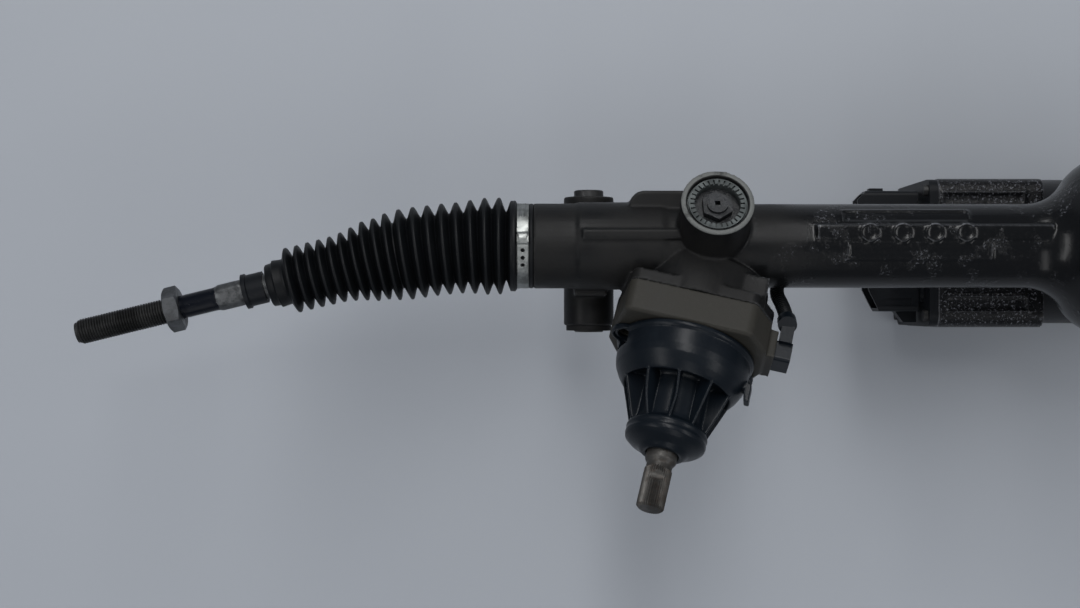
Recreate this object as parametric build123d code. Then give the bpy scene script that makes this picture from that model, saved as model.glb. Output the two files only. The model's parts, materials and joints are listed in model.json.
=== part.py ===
"""Electric power steering rack with its motor beside the rack.

Millimetres. The working axes have their zero where the pinion meets the rack bar:
+X runs along the bar towards the motor side, +Z points up off the bench that the
unit lies on. Each piece is moved once, when it is written, so that the origin is the
middle of the pinion-side mounting bore.
"""

from build123d import *
import os
from math import acos, atan, cos, degrees, pi, radians, sin, sqrt, tan

os.makedirs("parts", exist_ok=True)

# ---------------------------------------------------------------- driving sizes
FIT = 0.05  # radial gap of a running fit
GAP = 0.3  # gap between pieces that only pass each other

# rack bar and gear
BAR_R = 13.0
TEETH = 8
TRANSVERSE_MODULE = 2.0
PINION_TILT = 14.0  # between the pinion axis and the square across the bar
PRESSURE_ANGLE = 20.0
PROFILE_SHIFT = 0.5
PINION_TIP_R = 10.3
PINION_OFFSET = 16.0  # bar axis to pinion axis
TOOTH_BACKLASH = 0.16
TRAVEL = 75.0  # each way from straight ahead
RACK_SHIFT = 30.0  # how far the bar stands towards the motor side, as it lies here
YOKE_LEAN = 63.0  # turns the yoke from along +Y up towards +Z
STUD_R = 7.0  # threaded stud of each inner joint, in the bar's end

# housing
SPIGOT_X = -108.0
SPIGOT_R = 21.0
SPIGOT_LENGTH = 10.2
SLEEVE_R = 23.6
SLEEVE_LENGTH = 23.0
BODY_R = 24.3
BODY_LENGTH = 80.0  # the boot end, before it narrows to the tube
TUBE_R = 23.3
SOCKET_BORE_R = 19.0
BAR_BORE_R = 14.0
BUSH_R = 16.0
BUSH_LENGTH = 16.0
HOUSING_LENGTH = 658.0
LEDGE = (-71.0, -15.0, 2.8, 8.3, 0.0, 25.4)  # rib along the body: x, y and z, each from and to
SHOULDER = (-45.0, -14.0, 0.0, 30.0, -4.0, 12.0)  # thick corner behind the yoke
SHOULDER_CORNER_R = 8.0
FLARE_X = 174.0
FLARE_LENGTH = 48.0
DRUM_R = 50.0
FLANGE_X = 284.0
FLANGE_THICK = 12.0
RIM_R = 62.0
RIM_THICK = 7.0
RIM_BOLT_R = 57.2
BOLT_R = 3.0
HEAD_R = 4.8
RACK_BOLTS = (0.0, 45.0, 90.0, 135.0, 180.0)  # degrees about the bar
MOTOR_BOLTS = (0.0, 180.0, 235.0, 305.0)  # degrees about the motor
DATE_DISCS = (84.3, 102.1, 119.6, 136.4)  # round bosses along the tube
DISC_R = 4.1
DISC_Y = 6.6
DISC_STRIP = (56.0, 2.8, 10.8)  # flat strip that carries the discs: from x, and its y from and to
STRIP_HIGH = 1.2
TUBE_FRAMES = ((70.0, 140.0, 12.0, 19.5), (72.0, 151.0, -8.3, 1.1))  # x0, x1, y0, y1

# drive
MOTOR_DROP = 96.0  # rack axis down to motor axis
MOTOR_R = 44.0
MOTOR_LENGTH = 82.0
MOTOR_WALL = 3.0
CAN_LENGTH = 60.0  # drawn can, before the cast front end
CAN_STEP = 1.5
MOTOR_EAR_R = 37.0
FLOOR_BELOW_MOTOR = 46.0
REAR_BEARING_R = 13.0
REAR_BEARING_WIDTH = 9.0
FRONT_BEARING_R = 16.0
FRONT_BEARING_WIDTH = 11.0
STATOR_LENGTH = 42.0
STATOR_TEETH = 12
ROTOR_R = 23.0
NUT_X = 252.0
NUT_LENGTH = 76.0
NUT_R = 24.0
NUT_SHOULDER_R = 28.0
NUT_BEARING_X = 262.0
NUT_BEARING_R = 40.0
NUT_BEARING_WIDTH = 18.0
BIG_PULLEY_R = 42.0
SMALL_PULLEY_R = 16.0
PULLEY_WIDTH = 22.0
PULLEY_FLANGE = 2.4
BELT_THICK = 4.0
SHAFT_R = 6.0
COVER_DEPTH = 40.0
COVER_WALL = 4.0
COVER_BIG_R = 52.0
COVER_SMALL_R = 35.4

# control unit
UNIT_WIDTH = 88.0
UNIT_HEIGHT = 90.0
UNIT_LENGTH = 62.0
UNIT_LID = 7.0
UNIT_WALL = 3.5
CASE_BACK = 4.0  # wall between the case and the motor
CAP_R = 5.0  # the three capacitors
CAP_LENGTH = 12.0
UNIT_CORNER_R = 8.0
UNIT_Y = -2.0
LABEL_FRAMES = ((2.0, 51.0, 26.0, 34.0), (5.0, 53.0, -37.0, -27.0))  # x0, x1, y0, y1 on the case
FRAME_WALL = 1.0
FRAME_HIGH = 0.8
PLUG_RISE = 14.0  # of both connectors above the middle of the case
POWER_DEPTH = 30.0
POWER_WIDTH = 24.0
POWER_HEIGHT = 22.0
POWER_INSET = 21.3  # from the side of the case to the middle of the connector
SIGNAL_DEPTH = 36.0
SIGNAL_WIDTH = 22.0
SIGNAL_HEIGHT = 16.0
SIGNAL_INSET = 16.9

# mounting eyes
EYE_X = -66.0
EYE_Y = -7.5
EYE_Z = -38.0
EYE_R = 14.4
EYE_LENGTH = 74.0
EYE_BORE_R = 12.0
SLEEVE_BORE_R = 6.1
SLEEVE_WALL = 2.4
SLEEVE_FULL_LENGTH = 81.8

# ball joints and tie rods
BALL_R = 11.5
BALL_GAP = 0.08
SEAT_R = 13.2
SOCKET_R = 16.5
SOCKET_FRONT = 9.0
SOCKET_BACK = 22.0
MOUTH_LIP_R = 10.6
MOUTH_LIP_AT = 5.5
MOUTH_R = 12.6
DROOP = 13.74  # how far each tie rod hangs towards -Y
NECK_R = 6.0
ROD_R = 6.95
ROD_WAIST_R = 6.55  # under the jam nut
TIE_ROD_LENGTH = 203.0
NUT_FLATS = 22.0
NUT_THICK = 8.4
NUT_AT = 147.4

# boots
BOOT_WALL = 1.0
BOOT_BIG_R = 25.4
BOOT_SMALL_R = 18.4
BOOT_GROOVE = 4.7
BOOT_BEND = 42.0  # length of each half of the bend
BIG_RINGS = 9
RAMP_RINGS = 5
SMALL_RINGS = 6
LEFT_PITCH = (7.5, 6.3)  # of the big rings, and of the others
RIGHT_PITCH = (14.0, 7.0)
CUFF_AT = 95.5
CUFF_LENGTH = 11.8
CUFF_R = 8.9
CLAMP_WIDTH = 6.6
CLAMP_THICK = 1.0

# pinion unit, along the pinion axis from the mesh
TEETH_LENGTH = 34.0
TOWER_R = 38.0
TOWER_TOP = 40.0
TOWER_ROOT = 14.0
LOWER_TOWER_R = 22.0
LOWER_TOWER_END = -38.0
BALL_BEARING_R = 21.0
BALL_BEARING_AT = 22.0
BALL_BEARING_WIDTH = 12.0
PINION_SHAFT_R = 10.0
PINION_TOP = 56.0
NEEDLE_R = 9.0
NEEDLE_AT = -34.0
NEEDLE_LENGTH = 12.0
SENSOR_OUTLINE = [
    (-36.0, 36.5),
    (32.0, 36.5),
    (42.5, 18.0),
    (43.0, -8.0),
    (36.0, -27.0),
    (18.0, -38.5),
    (-20.0, -38.5),
    (-38.0, -24.0),
    (-43.5, -6.0),
]
SENSOR_CORNER_R = 5.0
TOWER_FLANGE = 7.0
TOWER_PAD = (15.0, 36.0, 0.0, 31.0, 20.0, 39.0)  # wall beside the tower, seen along the pinion
SENSOR_TOP = 59.0
SENSOR_BOSS = 47.0
SENSOR_LUGS = (163.0, 333.0, 250.0)  # degrees about the pinion axis
LUG_REACH = 33.5
SENSOR_SCREW_R = 2.5
SCREW_SINK = 5.0  # seat of each screw head below the cap's top
SCREW_POCKET_R = 5.6
SCREW_DEEP = 12.0  # how far each screw goes into the tower
SCALLOP_R = 8.0  # room in the bell round each screw
SCALLOP_HIGH = 8.0
SEAL_R = 13.0
INPUT_R = 8.4
INPUT_FOOT = 38.0
INPUT_TAIL_R = 6.0
INPUT_STEP = 128.0
INPUT_END = 153.0
SPLINE_R = 7.45
CLAMP_GROOVE_AT = 136.0
CLAMP_GROOVE_R = 4.0
CLAMP_GROOVE_DEEP = 1.5
TORSION_R = 2.8
TORSION_FOOT = 20.0
COVER_TOP = 122.0
COVER_SKIN = 2.2
COVER_RIBS = 10
RIB_LOW = 78.0
RIB_HIGH = 109.0
HOOK_TURN = 8.0  # degrees about the pinion axis
COVER_OUTLINE = [
    (36.4, 59.0),
    (36.4, 67.0),
    (35.6, 74.0),
    (32.6, 81.0),
    (28.2, 87.5),
    (24.0, 94.0),
    (21.2, 101.0),
    (20.0, 108.0),
    (21.4, 109.5),
    (21.4, 113.5),
    (18.0, 117.5),
    (12.6, 120.0),
]

# yoke, square to the bar
YOKE_R = 15.9
YOKE_BORE_R = 16.2
YOKE_TOWER_R = 19.5
YOKE_TOWER_TOP = 48.0
YOKE_FRONT = 5.0
YOKE_BACK = 32.0
SPRING_POCKET_R = 11.0
SPRING_AT = 24.0
LINER = 1.0
PLUG_AT = 34.0
PLUG_TOP = 41.0
HEX_FLATS = 15.0
HEX_TURN = 34.0  # brings a corner almost to the front
LOCK_SLOTS = 30
LOCK_COLLAR_R = 15.3
LOCK_BORE_R = 12.2
LOCK_STEP = 44.8
LOCK_TOP = 46.5
BOSS_R = 5.6
BOSS_TOP = 47.0
KEY_HOLE = 2.8  # square hole in the boss

# sensor cable
CABLE_R = 4.0
CABLE_ROUTE = [
    (41.0, -41.0, 12.0),
    (42.0, -35.0, -2.0),
    (39.0, -24.0, -24.0),
    (50.0, -8.0, -34.0),
    (70.0, -4.0, -35.0),
    (88.0, -3.0, -42.0),
    (101.0, -2.0, -58.0),
    (118.0, -2.0, -68.0),
]
CLIP_SHARE = 0.56  # how far along the cable its clip is

# what follows from them
MID_X = SPIGOT_X + HOUSING_LENGTH / 2
RIGHT_END = SPIGOT_X + HOUSING_LENGTH
BALL_REACH = TRAVEL + 1.0
LEFT_BALL_X = SPIGOT_X - BALL_REACH + RACK_SHIFT
RIGHT_BALL_X = RIGHT_END + BALL_REACH + RACK_SHIFT
BAR_LEFT = LEFT_BALL_X + SOCKET_BACK
BAR_RIGHT = RIGHT_BALL_X - SOCKET_BACK
SOCKET_STOP = BAR_LEFT + TRAVEL - RACK_SHIFT + 1.0
FLOOR_Z = -MOTOR_DROP - FLOOR_BELOW_MOTOR
COVER_X = FLANGE_X + FLANGE_THICK
MOTOR_X = FLANGE_X - MOTOR_LENGTH
REAR_BEARING_X = MOTOR_X + MOTOR_WALL
FRONT_BEARING_X = FLANGE_X - FRONT_BEARING_WIDTH - 6.0
STATOR_X = MOTOR_X + 16.0
PULLEY_X = COVER_X + 6.0
UNIT_X = MOTOR_X - UNIT_LENGTH
LID_X = UNIT_X - UNIT_LID
UNIT_Z = FLOOR_Z + UNIT_HEIGHT / 2

# the origin is the middle of the pinion-side mounting bore
ORIGIN = (EYE_X, EYE_Y, EYE_Z)

# ---------------------------------------------------------------- helpers
LEAN = Rot(X=YOKE_LEAN)
PINION = LEAN * Pos(0, -PINION_OFFSET, 0) * Rot(Y=-PINION_TILT)
OTHER_END = Plane.YZ.offset(MID_X)


def save(name, shape):
    """Writes one piece, seen from the origin."""
    export_step(Pos(*ORIGIN).inverse() * shape, f"parts/{name}.step")


def turned(points):
    """A solid of revolution about X, from (x, r) corners."""
    return revolve(make_face(Polyline(*points, close=True)), axis=Axis.X)


def ring(x0, x1, outer, inner=0.0):
    """A plain ring, or a disc, along the bar from x0 to x1."""
    body = Pos((x0 + x1) / 2, 0, 0) * Rot(Y=90) * Cylinder(outer, x1 - x0)
    if inner > 0:
        body -= Pos((x0 + x1) / 2, 0, 0) * Rot(Y=90) * Cylinder(inner, x1 - x0)
    return body


def disc(z0, z1, outer, inner=0.0):
    """A ring about Z from z0 to z1."""
    body = Pos(0, 0, (z0 + z1) / 2) * Cylinder(outer, z1 - z0)
    if inner > 0:
        body -= Pos(0, 0, (z0 + z1) / 2) * Cylinder(inner, z1 - z0)
    return body


def spun(points):
    """A solid of revolution about Z, from (r, z) corners."""
    outline = make_face(Polyline(*[(r, 0, z) for r, z in points], close=True))
    return revolve(outline, axis=Axis.Z)


def block(x0, x1, y0, y1, z0, z1):
    """A box between two corners."""
    size = (x1 - x0, y1 - y0, z1 - z0)
    return Pos((x0 + x1) / 2, (y0 + y1) / 2, (z0 + z1) / 2) * Box(*size)


def egg(x0, x1, rack_r, motor_r):
    """A plate round both the rack axis and the motor axis, from x0 to x1."""
    rims = [
        *(Circle(rack_r)).edges(),
        *(Pos(0, -MOTOR_DROP) * Circle(motor_r)).edges(),
    ]
    return extrude(Plane.YZ.offset(x0) * make_hull(rims), amount=x1 - x0)


def at_motor(shape):
    """Moves a piece made about the rack axis onto the motor axis."""
    return Pos(0, 0, -MOTOR_DROP) * shape


def other_end(shape):
    """The same piece at the far end of the housing."""
    return mirror(shape, about=OTHER_END)


# ---------------------------------------------------------------- gear
def involute(angle):
    return tan(angle) - angle


def pinion_teeth():
    """Helical teeth, whose lines lie square across the bar where they mesh."""
    pitch_r = TRANSVERSE_MODULE * TEETH / 2
    slope = atan(tan(radians(PRESSURE_ANGLE)) / cos(radians(PINION_TILT)))
    base_r = pitch_r * cos(slope)
    shift = PROFILE_SHIFT * TRANSVERSE_MODULE * cos(radians(PINION_TILT))
    half = (pi * TRANSVERSE_MODULE / 2 + 2 * shift * tan(slope)) / 2 / pitch_r
    root_r = pitch_r + shift - 1.3 * TRANSVERSE_MODULE * cos(radians(PINION_TILT))

    def flank(radius):
        return half + involute(slope) - involute(acos(min(1.0, base_r / radius)))

    def at(radius, angle):
        return (radius * sin(angle), radius * cos(angle))

    steps = [base_r + (PINION_TIP_R - base_r) * k / 4 for k in range(5)]
    edges = []
    for tooth in range(TEETH):
        turn = 2 * pi * tooth / TEETH
        left = [at(radius, turn - flank(radius)) for radius in steps]
        right = [at(radius, turn + flank(radius)) for radius in reversed(steps)]
        foot = flank(base_r)
        gap = turn + pi / TEETH
        edges += [
            Line(at(root_r, turn - foot), left[0]),
            Spline(*left),
            ThreePointArc(left[-1], at(PINION_TIP_R, turn), right[0]),
            Spline(*right),
            Line(right[-1], at(root_r, turn + foot)),
            ThreePointArc(
                at(root_r, turn + foot),
                at(root_r, gap),
                at(root_r, turn + 2 * pi / TEETH - foot),
            ),
        ]
    section = Face(Wire(edges))
    low = -TEETH_LENGTH / 2
    twist = degrees(TEETH_LENGTH * tan(radians(PINION_TILT)) / pitch_r)
    section = Pos(0, 0, low) * Rot(Z=twist / 2) * section
    return Solid.extrude_linear_with_rotation(
        section, (0, 0, low), (0, 0, TEETH_LENGTH), -twist
    )


def rack_bar():
    """Round bar with a toothed flat, ball-screw thread relief and tapped ends."""
    pitch = pi * TRANSVERSE_MODULE * cos(radians(PINION_TILT))
    normal_module = TRANSVERSE_MODULE * cos(radians(PINION_TILT))
    reference = PINION_OFFSET - TRANSVERSE_MODULE * TEETH / 2
    reference -= PROFILE_SHIFT * normal_module
    tip = reference + 0.9 * normal_module
    root = PINION_OFFSET - PINION_TIP_R - 0.5
    slope = tan(radians(PRESSURE_ANGLE))
    half_gap = pitch / 4 + TOOTH_BACKLASH / 2

    def half_at(depth):
        return half_gap + (depth - reference) * slope

    bar = ring(BAR_LEFT, BAR_RIGHT, BAR_R)
    bar = chamfer(bar.edges().filter_by(GeomType.CIRCLE), 1.0)
    first = -round((TRAVEL - RACK_SHIFT + 15) / pitch)
    last = round((TRAVEL + RACK_SHIFT + 15) / pitch)
    flat_low, flat_high = (first - 0.5) * pitch, (last + 0.5) * pitch
    deep = 2 * BAR_R
    cuts = [block(flat_low, flat_high, -deep, -tip, -BAR_R, BAR_R)]
    for number in range(first, last + 1):
        x = number * pitch
        gap = make_face(
            Polyline(
                (x - half_at(root), -root),
                (x + half_at(root), -root),
                (x + half_at(tip + 1), -tip - 1),
                (x - half_at(tip + 1), -tip - 1),
                close=True,
            )
        )
        cuts.append(extrude(gap, amount=BAR_R, both=True))
    bar -= [LEAN * cut for cut in cuts]
    hole = SOCKET_BACK
    bar -= ring(BAR_LEFT, BAR_LEFT + hole, STUD_R)
    bar -= ring(BAR_RIGHT - hole, BAR_RIGHT, STUD_R)
    screw_low = NUT_X - TRAVEL + RACK_SHIFT - 8
    screw_high = NUT_X + NUT_LENGTH + TRAVEL + RACK_SHIFT + 8
    for x in (screw_low, screw_high):
        bar -= ring(x, x + 3, BAR_R + 1, BAR_R - 1.2)
    return bar


def pinion_shaft():
    """The pinion with its two journals, hollow at the top for the torsion bar."""
    low = -TEETH_LENGTH / 2
    shaft = spun(
        [
            (0, NEEDLE_AT - 2),
            (SHAFT_R - 0.8, NEEDLE_AT - 2),
            (SHAFT_R, NEEDLE_AT - 1.2),
            (SHAFT_R, low - 2),
            (SHAFT_R + 1.2, low),
            (SHAFT_R, low),
            (SHAFT_R, -low),
            (PINION_SHAFT_R, -low + 1.5),
            (PINION_SHAFT_R, BALL_BEARING_AT + BALL_BEARING_WIDTH + 5),
            (PINION_SHAFT_R - 0.8, BALL_BEARING_AT + BALL_BEARING_WIDTH + 6),
            (PINION_SHAFT_R - 0.8, PINION_TOP - 1),
            (PINION_SHAFT_R - 1.8, PINION_TOP),
            (0, PINION_TOP),
        ]
    )
    shaft += pinion_teeth()
    shaft -= disc(INPUT_FOOT - 0.5, PINION_TOP, INPUT_TAIL_R + FIT)
    shaft -= disc(TORSION_FOOT, INPUT_FOOT, TORSION_R)
    return PINION * shaft


def input_shaft():
    """Stepped shaft with a serrated end and a clamp groove, hollow for the torsion bar."""
    shaft = spun(
        [
            (0, INPUT_FOOT),
            (INPUT_TAIL_R, INPUT_FOOT),
            (INPUT_TAIL_R, PINION_TOP + 1.5),
            (INPUT_R, PINION_TOP + 1.5),
            (INPUT_R, INPUT_STEP - 3),
            (SPLINE_R - 0.6, INPUT_STEP),
            (SPLINE_R - 0.6, INPUT_STEP + 2),
            (SPLINE_R, INPUT_STEP + 3),
            (SPLINE_R, INPUT_END - 1.2),
            (SPLINE_R - 1.2, INPUT_END),
            (0, INPUT_END),
        ]
    )
    groove = Pos(0, SPLINE_R + CLAMP_GROOVE_R - CLAMP_GROOVE_DEEP, CLAMP_GROOVE_AT) * Rot(Y=90)
    shaft -= groove * Cylinder(CLAMP_GROOVE_R, 2 * INPUT_R)
    shaft -= disc(INPUT_FOOT, INPUT_STEP + 2, TORSION_R + GAP)
    return PINION * shaft


def torsion_bar():
    """Thin bar, pinned in the pinion, that lets the input shaft twist a few degrees."""
    waist = TORSION_R - 0.5
    bar = spun(
        [
            (0, TORSION_FOOT),
            (TORSION_R, TORSION_FOOT),
            (TORSION_R, INPUT_FOOT - 1),
            (waist, INPUT_FOOT + 3),
            (waist, INPUT_STEP - 14),
            (TORSION_R, INPUT_STEP - 10),
            (TORSION_R, INPUT_STEP + 1),
            (0, INPUT_STEP + 1),
        ]
    )
    return PINION * bar


# ---------------------------------------------------------------- pinion unit
def needle_bearing():
    return PINION * disc(
        NEEDLE_AT, NEEDLE_AT + NEEDLE_LENGTH, NEEDLE_R, SHAFT_R + FIT
    )


def ball_bearing(z0, width, outer, inner):
    """A shielded ball bearing about Z: the shields stand back from both rings."""
    rim = (outer - inner) / 4
    return spun(
        [
            (inner, z0),
            (inner + rim, z0),
            (inner + rim, z0 + 0.8),
            (outer - rim, z0 + 0.8),
            (outer - rim, z0),
            (outer, z0),
            (outer, z0 + width),
            (outer - rim, z0 + width),
            (outer - rim, z0 + width - 0.8),
            (inner + rim, z0 + width - 0.8),
            (inner + rim, z0 + width),
            (inner, z0 + width),
        ]
    )


def pinion_ball_bearing():
    return PINION * ball_bearing(
        BALL_BEARING_AT, BALL_BEARING_WIDTH, BALL_BEARING_R, PINION_SHAFT_R + FIT
    )


def bearing_nut():
    """Ring nut over the ball bearing, with four spanner slots."""
    low = BALL_BEARING_AT + BALL_BEARING_WIDTH
    nut = disc(low, low + 5, BALL_BEARING_R, PINION_SHAFT_R + 4)
    for turn in range(4):
        slot = Rot(Z=90 * turn) * block(PINION_SHAFT_R + 2, 17, -2, 2, low + 2.5, low + 6)
        nut -= slot
    return PINION * nut


def end_cap():
    """Pressed cap that closes the lower end of the pinion bore."""
    low = LOWER_TOWER_END
    return PINION * spun(
        [
            (0, low),
            (NEEDLE_R, low),
            (NEEDLE_R, low + 2.5),
            (NEEDLE_R - 1.2, low + 2.5),
            (NEEDLE_R - 1.2, low + 1.2),
            (0, low + 1.2),
        ]
    )


def sensor_plate(low, high):
    """The many-sided outline of the sensor's cap and of the flange under it, from low to high."""
    outline = make_face(Polyline(*SENSOR_OUTLINE, close=True))
    plate = extrude(Pos(0, 0, low) * outline, amount=high - low)
    return fillet(plate.edges().filter_by(Axis.Z), SENSOR_CORNER_R)


def sensor_housing():
    """Cast cap over the torque sensor, with three screw pockets and the plug boss."""
    body = sensor_plate(TOWER_TOP, SENSOR_TOP)
    body = chamfer(body.edges().group_by(Axis.Z)[-1], 1.5)
    body += block(28, SENSOR_BOSS, -13, 13, TOWER_TOP + 1, SENSOR_TOP - 2)
    for angle in SENSOR_LUGS:
        place = Rot(Z=angle) * Pos(LUG_REACH, 0, 0)
        body += place * disc(TOWER_TOP, SENSOR_TOP - 5, 9.0)
    body -= disc(TOWER_TOP, SENSOR_TOP - 5, 26.0)
    body -= disc(SENSOR_TOP - 5, SENSOR_TOP, SEAL_R)
    for angle in SENSOR_LUGS:
        place = Rot(Z=angle) * Pos(LUG_REACH, 0, 0)
        body -= place * disc(SENSOR_TOP - SCREW_SINK, SENSOR_TOP + 1, SCREW_POCKET_R)
        body -= place * disc(TOWER_TOP, SENSOR_TOP - SCREW_SINK, SENSOR_SCREW_R)
    body -= block(20, SENSOR_BOSS, -8, 8, TOWER_TOP + 4, SENSOR_TOP - 6)
    return PINION * body


def sensor_screws():
    """Three round-headed screws with a star socket."""
    screws = []
    seat = SENSOR_TOP - SCREW_SINK
    for angle in SENSOR_LUGS:
        head = disc(seat, seat + 3.5, 4.6)
        head = fillet(head.edges().group_by(Axis.Z)[-1], 1.4)
        for turn in range(3):
            head -= Rot(Z=60 * turn) * block(-2.3, 2.3, -0.7, 0.7, seat + 1, seat + 5)
        shank = disc(TOWER_TOP - SCREW_DEEP, seat, SENSOR_SCREW_R)
        screws.append(PINION * Rot(Z=angle) * Pos(LUG_REACH, 0, 0) * (head + shank))
    return Compound([s for screw in screws for s in screw.solids()])


def torque_sensor():
    """Sensor ring round the shaft and the moulded bridge to its plug pins."""
    body = disc(TOWER_TOP + 2, SENSOR_TOP - 6, 25.5, PINION_SHAFT_R + 0.6)
    body += block(20, SENSOR_BOSS - 6, -7.5, 7.5, TOWER_TOP + 4.5, SENSOR_TOP - 6.5)
    body -= disc(TOWER_TOP + 2, SENSOR_TOP - 6, PINION_SHAFT_R + 0.6)
    for y in (-4, 0, 4):
        pin = block(SENSOR_BOSS - 7, SENSOR_BOSS - 1, y - 0.5, y + 0.5, 46, 47)
        body += pin
    return PINION * body


def input_seal():
    """Lip seal between the sensor housing and the input shaft."""
    low = SENSOR_TOP - 5
    return PINION * spun(
        [
            (INPUT_R + 2.4, low),
            (SEAL_R, low),
            (SEAL_R, low + 5),
            (INPUT_R + 1.6, low + 5),
            (INPUT_R + FIT, low + 4.2),
            (INPUT_R + FIT, low + 3.6),
        ]
    )


def pinion_cover():
    """Moulded bell over the input shaft, ribbed along its neck, with a lip at the top."""
    inner = [(r - COVER_SKIN, z) for r, z in COVER_OUTLINE[:8]]
    neck = [
        (INPUT_R + GAP, COVER_TOP),
        (INPUT_R + GAP, COVER_TOP - 7),
        (INPUT_R + 3, COVER_TOP - 8),
        (16.5, COVER_TOP - 11),
    ]
    top = [(12.6, COVER_TOP)]
    bell = spun([*COVER_OUTLINE, *top, *neck, *reversed(inner)])
    for number in range(COVER_RIBS):
        corners = [(19.5, RIB_LOW + 6), (33.6, RIB_LOW), (21.4, RIB_HIGH), (19.5, RIB_HIGH)]
        rib = make_face(Polyline(*corners, close=True))
        rib = extrude(Rot(X=90) * rib, amount=0.9, both=True)
        bell += Rot(Z=360 / COVER_RIBS * (number + 0.5)) * rib
    hook = block(33, 38.5, -4, 4, 76, 79) + block(36, 38.5, -4, 4, 76, 86)
    bell += Rot(Z=HOOK_TURN) * hook
    bell -= spun([(0, 50), *inner, (0, 108)])
    envelope = spun([(0, SENSOR_TOP), *COVER_OUTLINE[:8], (0, 108)])
    scallop_top = SENSOR_TOP + SCALLOP_HIGH
    for angle in SENSOR_LUGS:
        place = Rot(Z=angle) * Pos(LUG_REACH, 0, 0)
        bell += envelope & place * disc(SENSOR_TOP, scallop_top + COVER_SKIN, SCALLOP_R + COVER_SKIN)
        bell -= place * disc(SENSOR_TOP - 1, scallop_top, SCALLOP_R)
    return PINION * bell


# ---------------------------------------------------------------- yoke
def yoke():
    """Pressure piece with a hollow face for the liner and a pocket for the spring."""
    body = Rot(X=-90) * disc(YOKE_FRONT, YOKE_BACK, YOKE_R)
    body -= Rot(Y=90) * Cylinder(BAR_R + LINER, 3 * YOKE_R)
    body -= Rot(X=-90) * disc(SPRING_AT, YOKE_BACK, SPRING_POCKET_R)
    return LEAN * body


def yoke_liner():
    """Thin low-friction shell between the yoke and the back of the bar."""
    shell = Rot(Y=90) * (Cylinder(BAR_R + LINER, 24) - Cylinder(BAR_R + FIT, 24))
    shell &= Rot(X=-90) * disc(6.0, 20.0, YOKE_R - 1)
    return LEAN * shell


def yoke_spring():
    """Two disc springs, back to back."""
    low, thick = SPRING_AT, 1.2
    outline = [
        (10.6, low),
        (10.6, low + thick),
        (6.0, low + 5 - 0.3),
        (10.6, low + 10 - thick),
        (10.6, low + 10),
        (6.0, low + 6 + thick),
        (5.0, low + 5 + thick),
        (5.0, low + 5 - thick),
        (6.0, low + 4 - thick),
    ]
    return LEAN * (Rot(X=-90) * spun(outline))


def yoke_plug():
    """Threaded adjuster with a hexagon and a round boss with a square hole."""
    body = disc(PLUG_AT, PLUG_TOP, YOKE_BORE_R)
    body += Pos(0, 0, PLUG_TOP) * extrude(
        RegularPolygon(HEX_FLATS / 2, 6, major_radius=False, rotation=HEX_TURN), amount=4.0
    )
    body += disc(PLUG_TOP + 3, BOSS_TOP, BOSS_R)
    body -= Pos(0, 0, BOSS_TOP) * Box(KEY_HOLE, KEY_HOLE, 8)
    return LEAN * (Rot(X=-90) * body)


def yoke_lock_ring():
    """Castellated ring that locks the adjuster."""
    body = disc(PLUG_TOP, LOCK_STEP, YOKE_BORE_R, LOCK_BORE_R)
    body += disc(LOCK_STEP - 1, LOCK_TOP, LOCK_COLLAR_R, LOCK_BORE_R)
    for number in range(LOCK_SLOTS):
        slot = block(LOCK_BORE_R - 1, LOCK_COLLAR_R - 0.7, -0.45, 0.45, LOCK_TOP - 1.5, LOCK_TOP)
        body -= Rot(Z=360 / LOCK_SLOTS * number) * slot
    return LEAN * (Rot(X=-90) * body)


# ---------------------------------------------------------------- housing
def end_profile():
    """Outline of the housing's boot end, from the spigot to the body."""
    return [
        (SPIGOT_X, 0),
        (SPIGOT_X, SPIGOT_R - 0.8),
        (SPIGOT_X + 0.8, SPIGOT_R),
        (SPIGOT_X + SPIGOT_LENGTH, SPIGOT_R),
        (SPIGOT_X + SPIGOT_LENGTH, SLEEVE_R),
        (SPIGOT_X + SPIGOT_LENGTH + SLEEVE_LENGTH, SLEEVE_R),
        (SPIGOT_X + SPIGOT_LENGTH + SLEEVE_LENGTH + 2, BODY_R),
        (SPIGOT_X + BODY_LENGTH, BODY_R),
        (SPIGOT_X + BODY_LENGTH + 4, TUBE_R),
    ]


def end_bore():
    """What is hollow at a boot end: room for the socket, then the bush seat."""
    return ring(SPIGOT_X, SOCKET_STOP, SOCKET_BORE_R) + ring(
        SOCKET_STOP, SOCKET_STOP + BUSH_LENGTH + 2, BUSH_R
    )


def eye():
    """Mounting eye across the bar, webbed to the tube."""
    place = Pos(EYE_X, EYE_Y, EYE_Z) * Rot(X=90)
    body = place * Cylinder(EYE_R, EYE_LENGTH)
    web = block(EYE_X - 9, EYE_X + 9, EYE_Y - 20, EYE_Y + 24, EYE_Z, 0)
    rib = block(EYE_X - 26, EYE_X + 26, -4, 4, EYE_Z + 6, -10)
    return body + web + rib


def eye_bore():
    return Pos(EYE_X, EYE_Y, EYE_Z) * Rot(X=90) * Cylinder(EYE_BORE_R, EYE_LENGTH)


def mount_bush():
    """Rubber bush bonded between the eye and its steel sleeve, with one lip."""
    lip = 3.0
    body = Cylinder(EYE_BORE_R, EYE_LENGTH)
    body += Pos(0, 0, (EYE_LENGTH + lip) / 2) * Cylinder(EYE_R - 1.4, lip)
    body -= Cylinder(SLEEVE_BORE_R + SLEEVE_WALL, 2 * EYE_LENGTH)
    return Pos(EYE_X, EYE_Y, EYE_Z) * Rot(X=90) * body


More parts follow.
